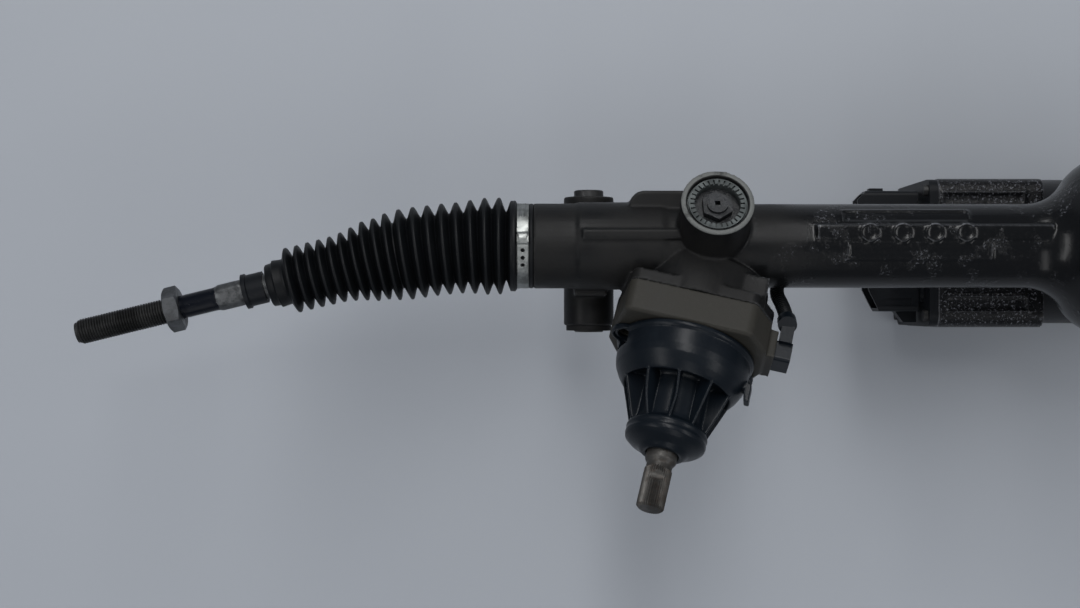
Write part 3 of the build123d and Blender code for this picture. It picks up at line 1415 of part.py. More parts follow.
# ---------------------------------------------------------------- writing
def write_all():
    mirrored_ball = 2 * MID_X - RIGHT_BALL_X
    pieces = {
        "rack_housing": rack_housing,
        "belt_cover": belt_cover,
        "belt_cover_bolts": cover_bolts,
        "motor_housing": motor_housing,
        "motor_bolts": motor_bolts,
        "motor_stator": motor_stator,
        "motor_bearings": motor_bearings,
        "motor_rotor": motor_rotor,
        "motor_shaft": motor_shaft,
        "motor_pulley": motor_pulley,
        "drive_belt": drive_belt,
        "nut_pulley": nut_pulley,
        "ball_nut": ball_nut,
        "nut_bearing": nut_bearing,
        "bearing_lock_ring": bearing_lock_ring,
        "ecu_housing": ecu_housing,
        "ecu_cover": ecu_cover,
        "ecu_screws": ecu_screws,
        "ecu_board": ecu_board,
        "power_connector": power_connector,
        "signal_connector": signal_connector,
        "rack_bar": rack_bar,
        "rack_bushes": rack_bushes,
        "pinion_shaft": pinion_shaft,
        "pinion_needle_bearing": needle_bearing,
        "pinion_ball_bearing": pinion_ball_bearing,
        "pinion_bearing_nut": bearing_nut,
        "pinion_end_cap": end_cap,
        "sensor_housing": sensor_housing,
        "sensor_screws": sensor_screws,
        "torque_sensor": torque_sensor,
        "input_seal": input_seal,
        "pinion_cover": pinion_cover,
        "input_shaft": input_shaft,
        "torsion_bar": torsion_bar,
        "yoke": yoke,
        "yoke_liner": yoke_liner,
        "yoke_spring": yoke_spring,
        "yoke_plug": yoke_plug,
        "yoke_lock_ring": yoke_lock_ring,
        "sensor_cable": sensor_cable,
        "sensor_plug": sensor_plug,
        "ecu_plug": ecu_plug,
        "cable_clip": cable_clip,
        "mount_bushes": lambda: pair(mount_bush()),
        "mount_sleeves": lambda: pair(mount_sleeve()),
    }
    for name, make in pieces.items():
        save(name, make())
    for side, name, ball_x in ((-1, "left", LEFT_BALL_X), (1, "right", RIGHT_BALL_X)):
        def both(shape):
            return shape if side < 0 else other_end(shape)

        joint = Pos(ball_x, 0, 0) * (socket() if side < 0 else mirror(socket(), about=Plane.YZ))
        save(f"{name}_inner_socket", joint)
        save(f"{name}_ball_seat", on_ball(ball_seat(), ball_x, side))
        save(f"{name}_tie_rod", on_ball(tie_rod(), ball_x, side))
        save(f"{name}_jam_nut", on_ball(jam_nut(), ball_x, side))
        save(f"{name}_boot_cuff", on_ball(cuff(), ball_x, side))
        save(f"{name}_boot_clamp", both(boot_clamp()))
        if side < 0:
            save(f"{name}_boot", boot_solid(ball_x, *LEFT_PITCH))
        else:
            save(f"{name}_boot", other_end(boot_solid(mirrored_ball, *RIGHT_PITCH)))


write_all()
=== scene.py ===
# %% [markdown]
# # A steering rack on a bench
#
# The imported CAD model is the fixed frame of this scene: every solid already has its
# size and place. This script gives it its looks. Plain machined forms stay CAD; forms
# that are moulded, threaded, serrated, folded or cast get a mesh of their own here.

# %% Load the frame
import json
from math import acos, atan2, cos, pi, radians, sin, sqrt, tan

import bpy
import numpy as np
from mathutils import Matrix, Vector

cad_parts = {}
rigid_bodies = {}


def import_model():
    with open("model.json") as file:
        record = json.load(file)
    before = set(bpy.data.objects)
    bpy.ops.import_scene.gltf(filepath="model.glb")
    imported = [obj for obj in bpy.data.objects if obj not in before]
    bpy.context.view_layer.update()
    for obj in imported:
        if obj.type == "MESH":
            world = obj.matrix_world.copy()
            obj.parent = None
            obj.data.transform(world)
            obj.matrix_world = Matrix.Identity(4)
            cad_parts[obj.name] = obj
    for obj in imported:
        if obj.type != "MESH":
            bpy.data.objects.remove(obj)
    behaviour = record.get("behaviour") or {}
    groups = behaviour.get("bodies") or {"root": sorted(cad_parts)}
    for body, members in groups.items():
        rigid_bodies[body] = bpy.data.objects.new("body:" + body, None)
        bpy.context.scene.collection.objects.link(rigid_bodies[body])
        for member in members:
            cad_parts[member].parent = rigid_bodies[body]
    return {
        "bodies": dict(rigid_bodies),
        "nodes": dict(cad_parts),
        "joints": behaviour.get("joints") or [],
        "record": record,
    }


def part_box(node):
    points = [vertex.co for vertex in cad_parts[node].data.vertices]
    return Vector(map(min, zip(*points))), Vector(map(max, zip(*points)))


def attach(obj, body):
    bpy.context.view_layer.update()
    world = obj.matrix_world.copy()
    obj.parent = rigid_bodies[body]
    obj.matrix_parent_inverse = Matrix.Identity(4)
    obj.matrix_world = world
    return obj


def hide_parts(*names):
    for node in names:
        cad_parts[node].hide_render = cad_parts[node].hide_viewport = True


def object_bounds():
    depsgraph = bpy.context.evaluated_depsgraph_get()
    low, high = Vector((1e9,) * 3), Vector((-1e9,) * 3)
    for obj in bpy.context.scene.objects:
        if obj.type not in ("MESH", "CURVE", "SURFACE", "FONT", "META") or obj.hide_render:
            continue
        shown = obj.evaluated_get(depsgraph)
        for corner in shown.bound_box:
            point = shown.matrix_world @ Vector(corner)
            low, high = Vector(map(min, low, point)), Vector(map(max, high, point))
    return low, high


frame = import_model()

cad_box = [list(corner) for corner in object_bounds()]
nodes = frame["nodes"]
joints = {joint["name"]: joint for joint in frame["joints"]}
mounts = {mount["name"]: mount for mount in frame["record"]["mounts"]}
MM = 0.001
print("solids:", len(nodes), "CAD box:", cad_box)

# %% [markdown]
# ## Where things are
#
# Lengths are written in millimetres about the bar: zero where the pinion meets it, X
# along it, Z up. One function turns such points into the frame's metres. The zero comes
# from the frame itself: the bar's axis from its box, the mesh from the pinion's joint.

# %% From bar millimetres to the frame
bar_low, bar_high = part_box("rack_bar")
ZERO = np.array([
    joints["pinion_spin"]["pos_m"][0],
    (bar_low.y + bar_high.y) / 2,
    (bar_low.z + bar_high.z) / 2,
])


def place(points):
    """Millimetres about the bar, as metres in the frame."""
    return np.asarray(points, float) * MM + ZERO


def local(point):
    """A point of the frame in metres, as millimetres about the bar."""
    return (np.asarray(point, float) - ZERO) / MM


print("bar zero in the frame:", ZERO)

# %% [markdown]
# ## Camera
#
# The view is straight down on the bench, with the bar level in the picture. The camera
# comes first, because it tells how much detail each piece needs.

# %% The camera
CAMERA_X, CAMERA_Y, CAMERA_HEIGHT = -94.2, -32.2, 900.0
LENS = 54.0
camera = bpy.data.objects.new("camera", bpy.data.cameras.new("camera"))
camera.data.lens = LENS
camera.data.sensor_width = 36.0
camera.data.clip_start = 0.05
camera.location = place([CAMERA_X, CAMERA_Y, CAMERA_HEIGHT])
bpy.context.scene.collection.objects.link(camera)
bpy.context.scene.camera = camera
print("camera at", tuple(camera.location))

# %% [markdown]
# ## Meshes from formulas
#
# Most pieces here are a stack of rings: a ring is one row of an array, the next row lies
# further along the piece, and quads join them. Two fans close the ends. The sign of the
# enclosed volume tells whether the faces point outwards, and turns them if they don't.

# %% Rings to a mesh
def volume_of(points, triangles):
    """Six times the signed volume: the sum of corner . (corner x corner)."""
    a, b, c = (points[triangles[:, k]] for k in range(3))
    return float(np.einsum("ij,ij->", a, np.cross(b, c)))


def mesh_object(name, points, faces, smooth_angle=35.0):
    """A mesh object at the origin, smooth except at edges sharper than the angle."""
    mesh = bpy.data.meshes.new(name)
    mesh.from_pydata(points.tolist(), [], faces)
    mesh.validate()
    mesh.shade_smooth()
    mesh.set_sharp_from_angle(angle=radians(smooth_angle))
    made = bpy.data.objects.new(name, mesh)
    bpy.context.scene.collection.objects.link(made)
    return made


def ring_faces(rows, columns, closed):
    """Quads between neighbouring rings, and a triangle fan at each open end."""
    row = np.arange(rows if closed else rows - 1)[:, None]
    column = np.arange(columns)[None]
    after, beside = (row + 1) % rows, (column + 1) % columns
    quads = np.stack([row * columns + column, row * columns + beside,
                      after * columns + beside, after * columns + column], -1)
    quads = quads.reshape(-1, 4)
    fans = np.zeros((0, 3), int)
    if not closed:
        edge = np.arange(columns)
        beyond = (edge + 1) % columns
        first = np.stack([np.full(columns, rows * columns), beyond, edge], -1)
        last_row = (rows - 1) * columns
        last = np.stack([np.full(columns, rows * columns + 1), last_row + edge, last_row + beyond], -1)
        fans = np.vstack([first, last])
    return quads, fans


def skin(name, rings, closed=False, smooth_angle=35.0):
    """Joins rings of points, shaped (ring, point, 3), into a closed mesh."""
    rows, columns = rings.shape[:2]
    points = rings.reshape(-1, 3)
    quads, fans = ring_faces(rows, columns, closed)
    if not closed:
        points = np.vstack([points, rings[0].mean(0), rings[-1].mean(0)])
    triangles = np.vstack([quads[:, :3], quads[:, [0, 2, 3]], fans])
    middle = points.mean(0)
    outwards = volume_of(points - middle, triangles) > 0
    faces = quads.tolist() + fans.tolist()
    if not outwards:
        faces = [face[::-1] for face in faces]
    made = mesh_object(name, points, faces, smooth_angle)
    print(name, "rings", rows, "x", columns)
    return made


def around(count):
    """Angles of a full turn, without its end."""
    return np.arange(count) * 2 * pi / count


def rise(x, low, high):
    """0 below low, 1 above high, and smooth between them."""
    share = np.clip((x - low) / (high - low), 0, 1)
    return share * share * (3 - 2 * share)


def window(x, low, high, soft):
    """1 between low and high, 0 outside, with soft ends."""
    return rise(x, low, low + soft) * (1 - rise(x, high - soft, high))


def settled(piece):
    """The piece with its modifiers worked out."""
    bpy.context.view_layer.update()
    ready = piece.evaluated_get(bpy.context.evaluated_depsgraph_get())
    mesh = bpy.data.meshes.new_from_object(ready)
    piece.modifiers.clear()
    piece.data = mesh
    return piece


def carved(piece, tool, operation="DIFFERENCE"):
    """The piece with a tool's shape taken away, or added with UNION."""
    change = piece.modifiers.new("carve", "BOOLEAN")
    change.operation, change.object, change.solver = operation, tool, "EXACT"
    settled(piece)
    bpy.data.objects.remove(tool)
    return piece


def joined(pieces, name):
    """Several mesh objects as one."""
    bpy.ops.object.select_all(action="DESELECT")
    for piece in pieces:
        piece.select_set(True)
    bpy.context.view_layer.objects.active = pieces[0]
    bpy.ops.object.join()
    pieces[0].name = name
    return pieces[0]

# %% [markdown]
# ## Shader sums as Python sums
#
# A material is a small sheet of nodes. Writing `worn * 0.6 + dirt` is far easier to read
# than eight lines that make and link Math nodes, so a class wraps a socket and its
# operators add the nodes. Everything reads Object coordinates: the pattern is then fixed
# in the piece, at real size, and needs no unwrapping.

# %% A socket with operators, and a sheet of nodes
class Value:
    """One output of a node; + - * on it add Math nodes."""

    def __init__(self, sheet, socket):
        self.sheet, self.socket = sheet, socket

    def math(self, operation, first, second):
        """One Math node. Either side may be a plain number."""
        return self.sheet.add("Math", {"operation": operation}, {0: first, 1: second})

    def __add__(self, other):
        return self.math("ADD", self, other)

    def __sub__(self, other):
        return self.math("SUBTRACT", self, other)

    def __rsub__(self, other):
        return self.math("SUBTRACT", other, self)

    def __mul__(self, other):
        return self.math("MULTIPLY", self, other)

    def step(self, low, high):
        """0 below low, 1 above high, and a smooth rise between them."""
        settings = {"interpolation_type": "SMOOTHSTEP"}
        sockets = {"Value": self, "From Min": low, "From Max": high}
        return self.sheet.add("MapRange", settings, sockets)

    __radd__ = __add__
    __rmul__ = __mul__


class Sheet:
    """The nodes of one material. add() places a node: its settings first, then its sockets."""

    def __init__(self, name):
        self.material = bpy.data.materials.new(name)
        self.material.use_nodes = True
        self.tree = self.material.node_tree
        self.tree.nodes.clear()
        self.coordinates = self.add("TexCoord", out="Object")

    def add(self, kind, settings=None, sockets=None, out=0):
        node = self.tree.nodes.new("ShaderNode" + kind)
        for key, value in (settings or {}).items():
            setattr(node, key, value)
        for key, value in (sockets or {}).items():
            socket = self.find(node.inputs, key)
            if isinstance(value, Value):
                self.tree.links.new(value.socket, socket)
            else:
                socket.default_value = value
        return Value(self, self.find(node.outputs, out))

    def find(self, sockets, key):
        """A socket by its number, its identifier or its name."""
        if isinstance(key, int):
            return sockets[key]
        return next(s for s in sockets if key in (s.identifier, s.name))

    def noise(self, size, detail=4.0, rough=0.55, seed=0.0, stretch=(1, 1, 1)):
        """Cloudy 0 to 1 pattern whose features are about size millimetres."""
        moved = self.add("Mapping", {}, {"Vector": self.coordinates, "Scale": stretch,
                                         "Location": (seed, seed * 0.7, -seed)})
        sockets = {"Vector": moved, "Scale": 1000 / size, "Detail": detail, "Roughness": rough}
        return self.add("TexNoise", {}, sockets, "Fac")

    def along(self, direction, start=(0, 0, 0)):
        """Millimetres along a direction from a point of the frame."""
        away = self.add("VectorMath", {"operation": "SUBTRACT"},
                        {0: self.coordinates, 1: tuple(float(v) for v in start)}, "Vector")
        dot = self.add("VectorMath", {"operation": "DOT_PRODUCT"},
                       {0: away, 1: tuple(float(v) for v in direction)}, "Value")
        return dot * 1000.0

    def mix(self, share, one, other):
        """One colour where share is 0, the other where it is 1."""
        sockets = {"Factor_Float": share, "A_Color": one, "B_Color": other}
        return self.add("Mix", {"data_type": "RGBA"}, sockets, "Result_Color")

    def ridges(self, low, high):
        """1 on outward edges of a finely divided mesh, 0 on flats and in hollows."""
        return self.add("NewGeometry", out="Pointiness").step(low, high)

    def finish(self, colour, roughness, metallic=0.0, height=None, depth=0.1, **fixed):
        """The surface itself. Height is a bump pattern and depth its size in millimetres."""
        sockets = {"Base Color": colour, "Roughness": roughness, "Metallic": metallic}
        if height is not None:
            bump = {"Height": height, "Distance": depth * MM, "Strength": 1.0}
            sockets["Normal"] = self.add("Bump", {}, bump, "Normal")
        sockets.update(fixed)
        surface = self.add("BsdfPrincipled", {}, sockets, "BSDF")
        output = self.tree.nodes.new("ShaderNodeOutputMaterial")
        self.tree.links.new(surface.socket, output.inputs["Surface"])
        return self.material


def rgb(red, green, blue):
    """An opaque colour, as a socket takes it."""
    return (red, green, blue, 1.0)


def paint(material, *names):
    """Gives CAD solids, named by node, this material."""
    for name in names:
        slots = nodes[name].data.materials
        slots.clear()
        slots.append(material)


def dress(piece, material, body, slot, *replaced):
    """Finishes a new piece: material, body it rides on, record slot (not used), solids it stands for."""
    piece.data.materials.clear()
    piece.data.materials.append(material)
    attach(piece, body)
    if replaced:
        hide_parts(*replaced)
    return piece

# %% [markdown]
# ## Finishes of the castings
#
# The aluminium of the housing is hidden under years of oily road dirt. What is left to see
# is a brown-black satin skin, wet and glossy where oil ran, a little paler where hands and
# cloths rubbed the corners. Where oil ran, painted highlights brighten the outward edges and
# bright painted glints are specked over the crinkles. One recipe makes all castings: fine
# sand grain for the mould, large clouds for the dirt, and a mask of the outward edges for the
# wear and for the painted highlights.

# %% Cast aluminium under oily dirt
DARK = {"Specular IOR Level": 0.17}
NOWHERE = (9000.0, 9001.0)
# Painted glint colour for the bright specks on the crinkles.
GLINT_SPECK_PAINT = rgb(0.16, 0.165, 0.185)
# Painted highlight colour for the outward edges of the oil-soaked part.
EDGE_HIGHLIGHT_PAINT = rgb(0.15, 0.155, 0.17)
BARE_RIM = rgb(0.13, 0.135, 0.13)


def turned_rim(sheet, centre, axis, inner, outer):
    """1 on the flat ring between two radii about an axis, at the height of its centre."""
    away = sheet.add("VectorMath", {"operation": "SUBTRACT"},
                     {0: sheet.coordinates, 1: centre}, "Vector")
    height = sheet.along(axis, centre)
    foot = sheet.add("VectorMath", {"operation": "SCALE"}, {0: axis, "Scale": height * MM}, "Vector")
    radius = sheet.add("VectorMath", {"operation": "DISTANCE"}, {0: away, 1: foot}, "Value") * 1000.0
    ring = radius.step(inner - 0.4, inner) * (1.0 - radius.step(outer, outer + 0.5))
    ring = ring * height.step(-0.9, -0.4)
    return ring * sheet.noise(9, detail=4, rough=0.7, seed=4.4).step(0.25, 0.5)


def casting(name, dry, wet, worn, oil=0.45, soaked=NOWHERE, film=0.0, rim=None):
    """Oil (dark, glossy) in clouds over dry dirt, and everywhere beyond a length along the bar.

    Soaked says where that begins and is complete, in millimetres. Film is the share of the
    soaked part where the oil has dried into crinkles, and the strength of the painted glints
    specked bright over them. Rim is a point, a direction and two radii: the turned face
    between them is bare and worn."""
    sheet = Sheet(name)
    clouds = sheet.noise(46, detail=6, rough=0.62, seed=3.1)
    speckle = sheet.noise(2.2, detail=3, rough=0.7, seed=1.7)
    sand = sheet.noise(0.9, detail=2, seed=9.2)
    drops = sheet.noise(1.5, detail=4, rough=0.78, seed=6.6)
    scuffs = sheet.noise(5.0, detail=3, rough=0.6, seed=2.2, stretch=(0.35, 1, 1))
    ragged = (clouds - 0.5) * 60.0
    run = (sheet.along((1, 0, 0), ZERO) + ragged).step(*soaked)
    wetness = (clouds + (speckle - 0.5) * 0.22).step(1 - oil - 0.12, 1 - oil + 0.12)
    wetness = wetness + run * (1.0 - wetness)
    ridge = sheet.ridges(0.515, 0.565)
    patchy = sheet.noise(14, seed=5.5).step(0.36, 0.60)
    rubbed = ridge * (0.35 + 0.65 * patchy) + scuffs.step(0.70, 0.76) * (1.0 - run)
    # Painted highlight: outward edges of the oil-soaked part are painted paler, as if they caught the
    # lamps.
    painted_edge_highlight = ridge * run * (0.4 + 0.6 * speckle.step(0.42, 0.58))
    patches = sheet.noise(17, detail=3, rough=0.7, seed=8.8)
    crinkle = run * patches.step(0.60 - film * 0.3, 0.68 - film * 0.3)
    colour = sheet.mix(wetness, rgb(*dry), rgb(*wet))
    colour = sheet.mix(speckle.step(0.52, 0.8) * 0.3, colour, rgb(*[1.9 * c for c in dry]))
    # Painted glints: bright specks over the crinkles stand in for reflections of the lamps.
    painted_glint_specks = drops.step(0.56, 0.66) * (0.5 + 0.5 * film)
    colour = sheet.mix(crinkle * painted_glint_specks, colour, GLINT_SPECK_PAINT)
    colour = sheet.mix(rubbed * 0.5, colour, rgb(*worn))
    colour = sheet.mix(painted_edge_highlight * 0.75, colour, EDGE_HIGHLIGHT_PAINT)
    roughness = 0.50 - wetness * 0.14 - run * 0.18 + speckle * 0.08 - rubbed * 0.06
    if rim is not None:
        colour = sheet.mix(turned_rim(sheet, *rim) * 0.9, colour, BARE_RIM)
    height = sand * 0.4 + speckle * (1.0 - wetness * 0.6) + clouds * 2.0
    height = height + drops * (run * 0.5 + crinkle * 2.0)
    wet_film = {"Coat Weight": run * 0.13, "Coat Roughness": 0.14}
    return sheet.finish(colour, roughness, 0.0, height, 0.10, **DARK, **wet_film)


TOWER_LEAN = radians(63)
TOWER_RISE = 4.25
RIM_RADII = (17.2, 19.6)
tower_axis = (0.0, cos(TOWER_LEAN), sin(TOWER_LEAN))
lock_low, lock_high = (np.array(corner, float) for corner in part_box("yoke_lock_ring"))
tower_top = tuple((lock_low + lock_high) / 2 + TOWER_RISE * MM * np.array(tower_axis))
housing_finish = casting("cast_housing", (0.0088, 0.0086, 0.0084), (0.0032, 0.0035, 0.0040),
                         (0.040, 0.041, 0.040), soaked=(8.0, 60.0), film=0.2,
                         rim=(tower_top, tower_axis, *RIM_RADII))
sensor_finish = casting("cast_sensor_cap", (0.027, 0.0255, 0.0215), (0.015, 0.0145, 0.013),
                        (0.06, 0.058, 0.053), oil=0.35)
drive_finish = casting("cast_drive", (0.0075, 0.0077, 0.0085), (0.0040, 0.0042, 0.0048),
                       (0.035, 0.036, 0.038), oil=0.5, soaked=(60.0, 100.0), film=0.25)
unit_finish = casting("cast_unit", (0.0075, 0.0077, 0.0085), (0.0040, 0.0042, 0.0048),
                      (0.035, 0.036, 0.038), oil=0.5, soaked=(60.0, 90.0), film=0.95)

# %% [markdown]
# ## Steel
#
# Bare steel on a used part is never mirror bright: it has fine marks, a film of oil and
# light rust. The same recipe takes two tints, an amount of rust and a roughness.

# %% Steel of several ages
RUST = rgb(0.055, 0.030, 0.017)


def steel(name, bright, dull, rust, roughness, grain=0.03, metal=1.0):
    """Bright metal clouded by a dull film, with rust spots where a noise is high."""
    sheet = Sheet(name)
    film = sheet.noise(11, detail=6, rough=0.65, seed=2.3)
    marks = sheet.noise(1.6, detail=4, rough=0.7, seed=7.7)
    spots = sheet.noise(3.4, detail=5, rough=0.7, seed=4.9)
    share = film.step(0.36, 0.66)
    colour = sheet.mix(share, rgb(*bright), rgb(*dull))
    colour = sheet.mix(marks.step(0.55, 0.75) * 0.4, colour, rgb(*[0.6 * c for c in dull]))
    colour = sheet.mix(spots.step(0.62 - 0.3 * rust, 0.74) * rust, colour, RUST)
    rough = roughness + share * 0.14 + marks * 0.1
    return sheet.finish(colour, rough, metal, marks + spots * 0.6, grain)


machined = steel("machined_steel", (0.42, 0.42, 0.42), (0.24, 0.24, 0.24), 0.1, 0.30)
bearing = steel("bearing_steel", (0.58, 0.58, 0.58), (0.38, 0.38, 0.38), 0.0, 0.25)
dark_steel = steel("phosphated_steel", (0.060, 0.064, 0.064), (0.028, 0.030, 0.030), 0.15, 0.42,
                   metal=0.5)
ring_steel = steel("lock_ring_steel", (0.068, 0.078, 0.078), (0.034, 0.040, 0.040), 0.1, 0.45, metal=0.4)
greased = steel("greased_steel", (0.014, 0.016, 0.018), (0.0075, 0.0085, 0.010), 0.1, 0.24,
                grain=0.5, metal=0.2)
nut_steel = steel("jam_nut_steel", (0.13, 0.135, 0.14), (0.060, 0.062, 0.064), 0.25, 0.34)
zinc = steel("zinc_steel", (0.30, 0.31, 0.30), (0.13, 0.135, 0.13), 0.10, 0.36)
dirty_zinc = steel("dirty_zinc_steel", (0.050, 0.050, 0.050), (0.022, 0.022, 0.022), 0.2, 0.40, metal=0.7)
shaft_steel = steel("input_shaft_steel", (0.080, 0.077, 0.072), (0.032, 0.030, 0.027), 0.5, 0.42,
                    grain=0.12, metal=0.75)
pressed = steel("laminations", (0.20, 0.18, 0.17), (0.11, 0.10, 0.095), 0.2, 0.5)

# %% [markdown]
# ## Rubber and mouldings
#
# Rubber and plastic share one look: a dark body, a soft sheen, and dust that stays in the
# grain. Only the numbers differ, so they share a function as well.

# %% Dark mouldings
def moulding(name, body, dusty, gloss=0.45, grain=0.05, grain_size=0.7, dust=0.4):
    """Dark polymer with a fine moulded grain and clouds of pale dust."""
    sheet = Sheet(name)
    film = sheet.noise(24, detail=6, rough=0.66, seed=6.1)
    speck = sheet.noise(1.3, detail=3, rough=0.75, seed=8.3)
    fine = sheet.noise(grain_size, detail=2, seed=2.9)
    veil = (film + (speck - 0.5) * 0.3).step(0.5, 0.8) * dust
    colour = sheet.mix(veil, rgb(*body), rgb(*dusty))
    colour = sheet.mix(speck.step(0.70, 0.78) * dust * 0.8, colour, rgb(*[2.2 * c for c in dusty]))
    roughness = gloss + veil * 0.3 + fine * 0.08
    return sheet.finish(colour, roughness, 0.0, fine + speck * 0.4, grain, **DARK)


rubber = moulding("boot_rubber", (0.0028, 0.0034, 0.0042), (0.0075, 0.0085, 0.0095), 0.42, 0.03)
bush_rubber = moulding("bush_rubber", (0.008, 0.008, 0.008), (0.03, 0.029, 0.027), 0.6, 0.08)
black_plastic = moulding("black_plastic", (0.0045, 0.0055, 0.0072), (0.010, 0.012, 0.015), 0.36, 0.04)
bell_plastic = moulding("bell_plastic", (0.0040, 0.0062, 0.0092), (0.0105, 0.0145, 0.0195), 0.28,
                        0.05, 1.2)
sleeve_plastic = moulding("sleeve_plastic", (0.0060, 0.0068, 0.0078), (0.015, 0.016, 0.018), 0.38, 0.03)
pale_plastic = moulding("pale_plastic", (0.55, 0.52, 0.42), (0.35, 0.33, 0.28), 0.4, 0.03, dust=0.3)
board_lacquer = moulding("board_lacquer", (0.02, 0.12, 0.06), (0.05, 0.14, 0.09), 0.25, 0.02, dust=0.2)
can_paint = moulding("can_paint", (0.0060, 0.0062, 0.0070), (0.016, 0.017, 0.018), 0.26, 0.06, 1.6)

# %% Paint every CAD solid by its record slot
finish_of_slot = {
    "cast_housing": housing_finish, "cast_drive": drive_finish, "motor_can": can_paint,
    "machined_steel": machined, "bearing_steel": bearing, "dark_steel": dark_steel,
    "zinc_steel": zinc, "rod_steel": dark_steel, "boot_rubber": rubber, "bush_rubber": bush_rubber,
    "black_moulding": black_plastic, "pale_moulding": pale_plastic, "board_green": board_lacquer,
    "core_laminations": pressed, "cable_sleeve": sleeve_plastic,
}
slot_of = {part["node"]: part["material_slot"] for part in frame["record"]["subparts"]}
for node, slot in slot_of.items():
    paint(finish_of_slot[slot], node)
paint(sensor_finish, "sensor_housing")
paint(nut_steel, "left_jam_nut", "right_jam_nut")
paint(ring_steel, "yoke_lock_ring")
paint(greased, "yoke_plug")
paint(bell_plastic, "sensor_plug")
paint(dirty_zinc, "mount_sleeves", "ecu_screws", "sensor_screws", "belt_cover_bolts", "motor_bolts")
print("painted", len(slot_of), "solids with", len(set(finish_of_slot.values())), "finishes")

# %% [markdown]
# ## The bellows
#
# A rubber boot keeps road water off the rack. It is moulded straight and bends when it is
# fitted, because the tie rod hangs. So the shape has two parts: a profile (radius against
# the length along the boot) and a middle line (straight, arc, straight). Each ring of the
# mesh stands square to that line. The wall is closed by carrying the same profile back
# along the inside, one wall thickness smaller.

# %% Middle line and profile of a boot
BOOT_BEND = 42.0
BOOT_WALL = 1.0
FIRST_RING = 11.4
COLLAR_R = 22.9
COLLAR_LENGTH = 9.2
SHOULDER_R = 24.0
SPIGOT_R = 21.0
CUFF_R = 8.9
CUFF_LENGTH = 8.5
RING_RADII = [25.2, 26.9, 26.9, 26.1, 25.4, 25.4, 25.3, 25.4, 25.4, 24.5, 23.0, 22.6, 20.9, 19.5,
              18.7, 18.6, 18.5, 18.4, 18.4]
LAST_RINGS = [18.3] * 6
LEFT_PITCH = (7.5, 6.3)
RIGHT_PITCH = (14.0, 7.0)
BIG_RINGS = 9
FIRST_FLAT, RING_FLAT = 2.4, 0.95
FLANK_CURVE = 0.035
CUFF_GAP, SPIGOT_GAP = 0.3, 0.05


def bent_line(s, corner, droop):
    """Distance out, distance down and heading: straight, then an arc, then straight."""
    radius = BOOT_BEND / tan(droop / 2)
    start = corner - BOOT_BEND
    turn = np.clip((s - start) / radius, 0, droop)
    rest = np.maximum(s - start - radius * droop, 0)
    out = np.minimum(s, start) + radius * np.sin(turn) + rest * cos(droop)
    down = radius * (1 - np.cos(turn)) + rest * sin(droop)
    return out, down, turn


def bellows_profile(pitches, length):
    """(s, r) of the outside: collar, rim bead, rings with flat tips and round valleys, cuff."""
    big, small = pitches
    radii = np.array(RING_RADII + LAST_RINGS)
    steps = np.array([big if k < BIG_RINGS else small for k in range(len(radii))])
    centres = FIRST_RING + np.concatenate([[0], np.cumsum(steps[:-1])])
    keep = centres < length - CUFF_LENGTH
    centres, steps, tips = centres[keep], steps[keep], radii[keep]
    valleys = np.minimum(tips, np.append(tips[1:], tips[-1])) - np.clip(0.5 * steps + 2.6, 5.2, 6.4)
    s = [np.array([0.0, 0.6, 2.0, 2.5, 2.6, 9.0, 9.1])]
    r = [np.array([23.0, 23.5, 23.5, 23.0, COLLAR_R, COLLAR_R, SHOULDER_R])]
    share = np.linspace(0, 1, 13)
    for k, (centre, pitch) in enumerate(zip(centres, steps)):
        flat = RING_FLAT if k else FIRST_FLAT
        foot_r, foot = (valleys[k - 1], centre - pitch / 2) if k else (SHOULDER_R, COLLAR_LENGTH)
        up = np.clip(1.08 * share, 0, 1)
        bow = up - FLANK_CURVE * np.sin(2 * pi * up)
        s.append(foot + (centre - flat / 2 - foot) * share[1:])
        r.append(foot_r + (tips[k] - foot_r) * bow[1:])
        s.append(centre + flat / 2 + (pitch - flat) / 2 * share)
        r.append(tips[k] + (valleys[k] - tips[k]) * (share - FLANK_CURVE * np.sin(2 * pi * share)))
    last = s[-1][-1]
    s.append(np.array([last + 1.6, length - 4.6, length - 4.2, length - 3.4, length - 0.5, length]))
    r.append(np.array([valleys[-1] + 0.2, *(CUFF_R + np.array([4.4, 3.6, 3.1, 2.9, 2.3]))]))
    s, r = np.concatenate(s), np.concatenate(r)
    order = np.argsort(s, kind="stable")
    s, r = s[order], r[order]
    r[8:-6] = 0.25 * r[7:-7] + 0.5 * r[8:-6] + 0.25 * r[9:-5]
    return s, r


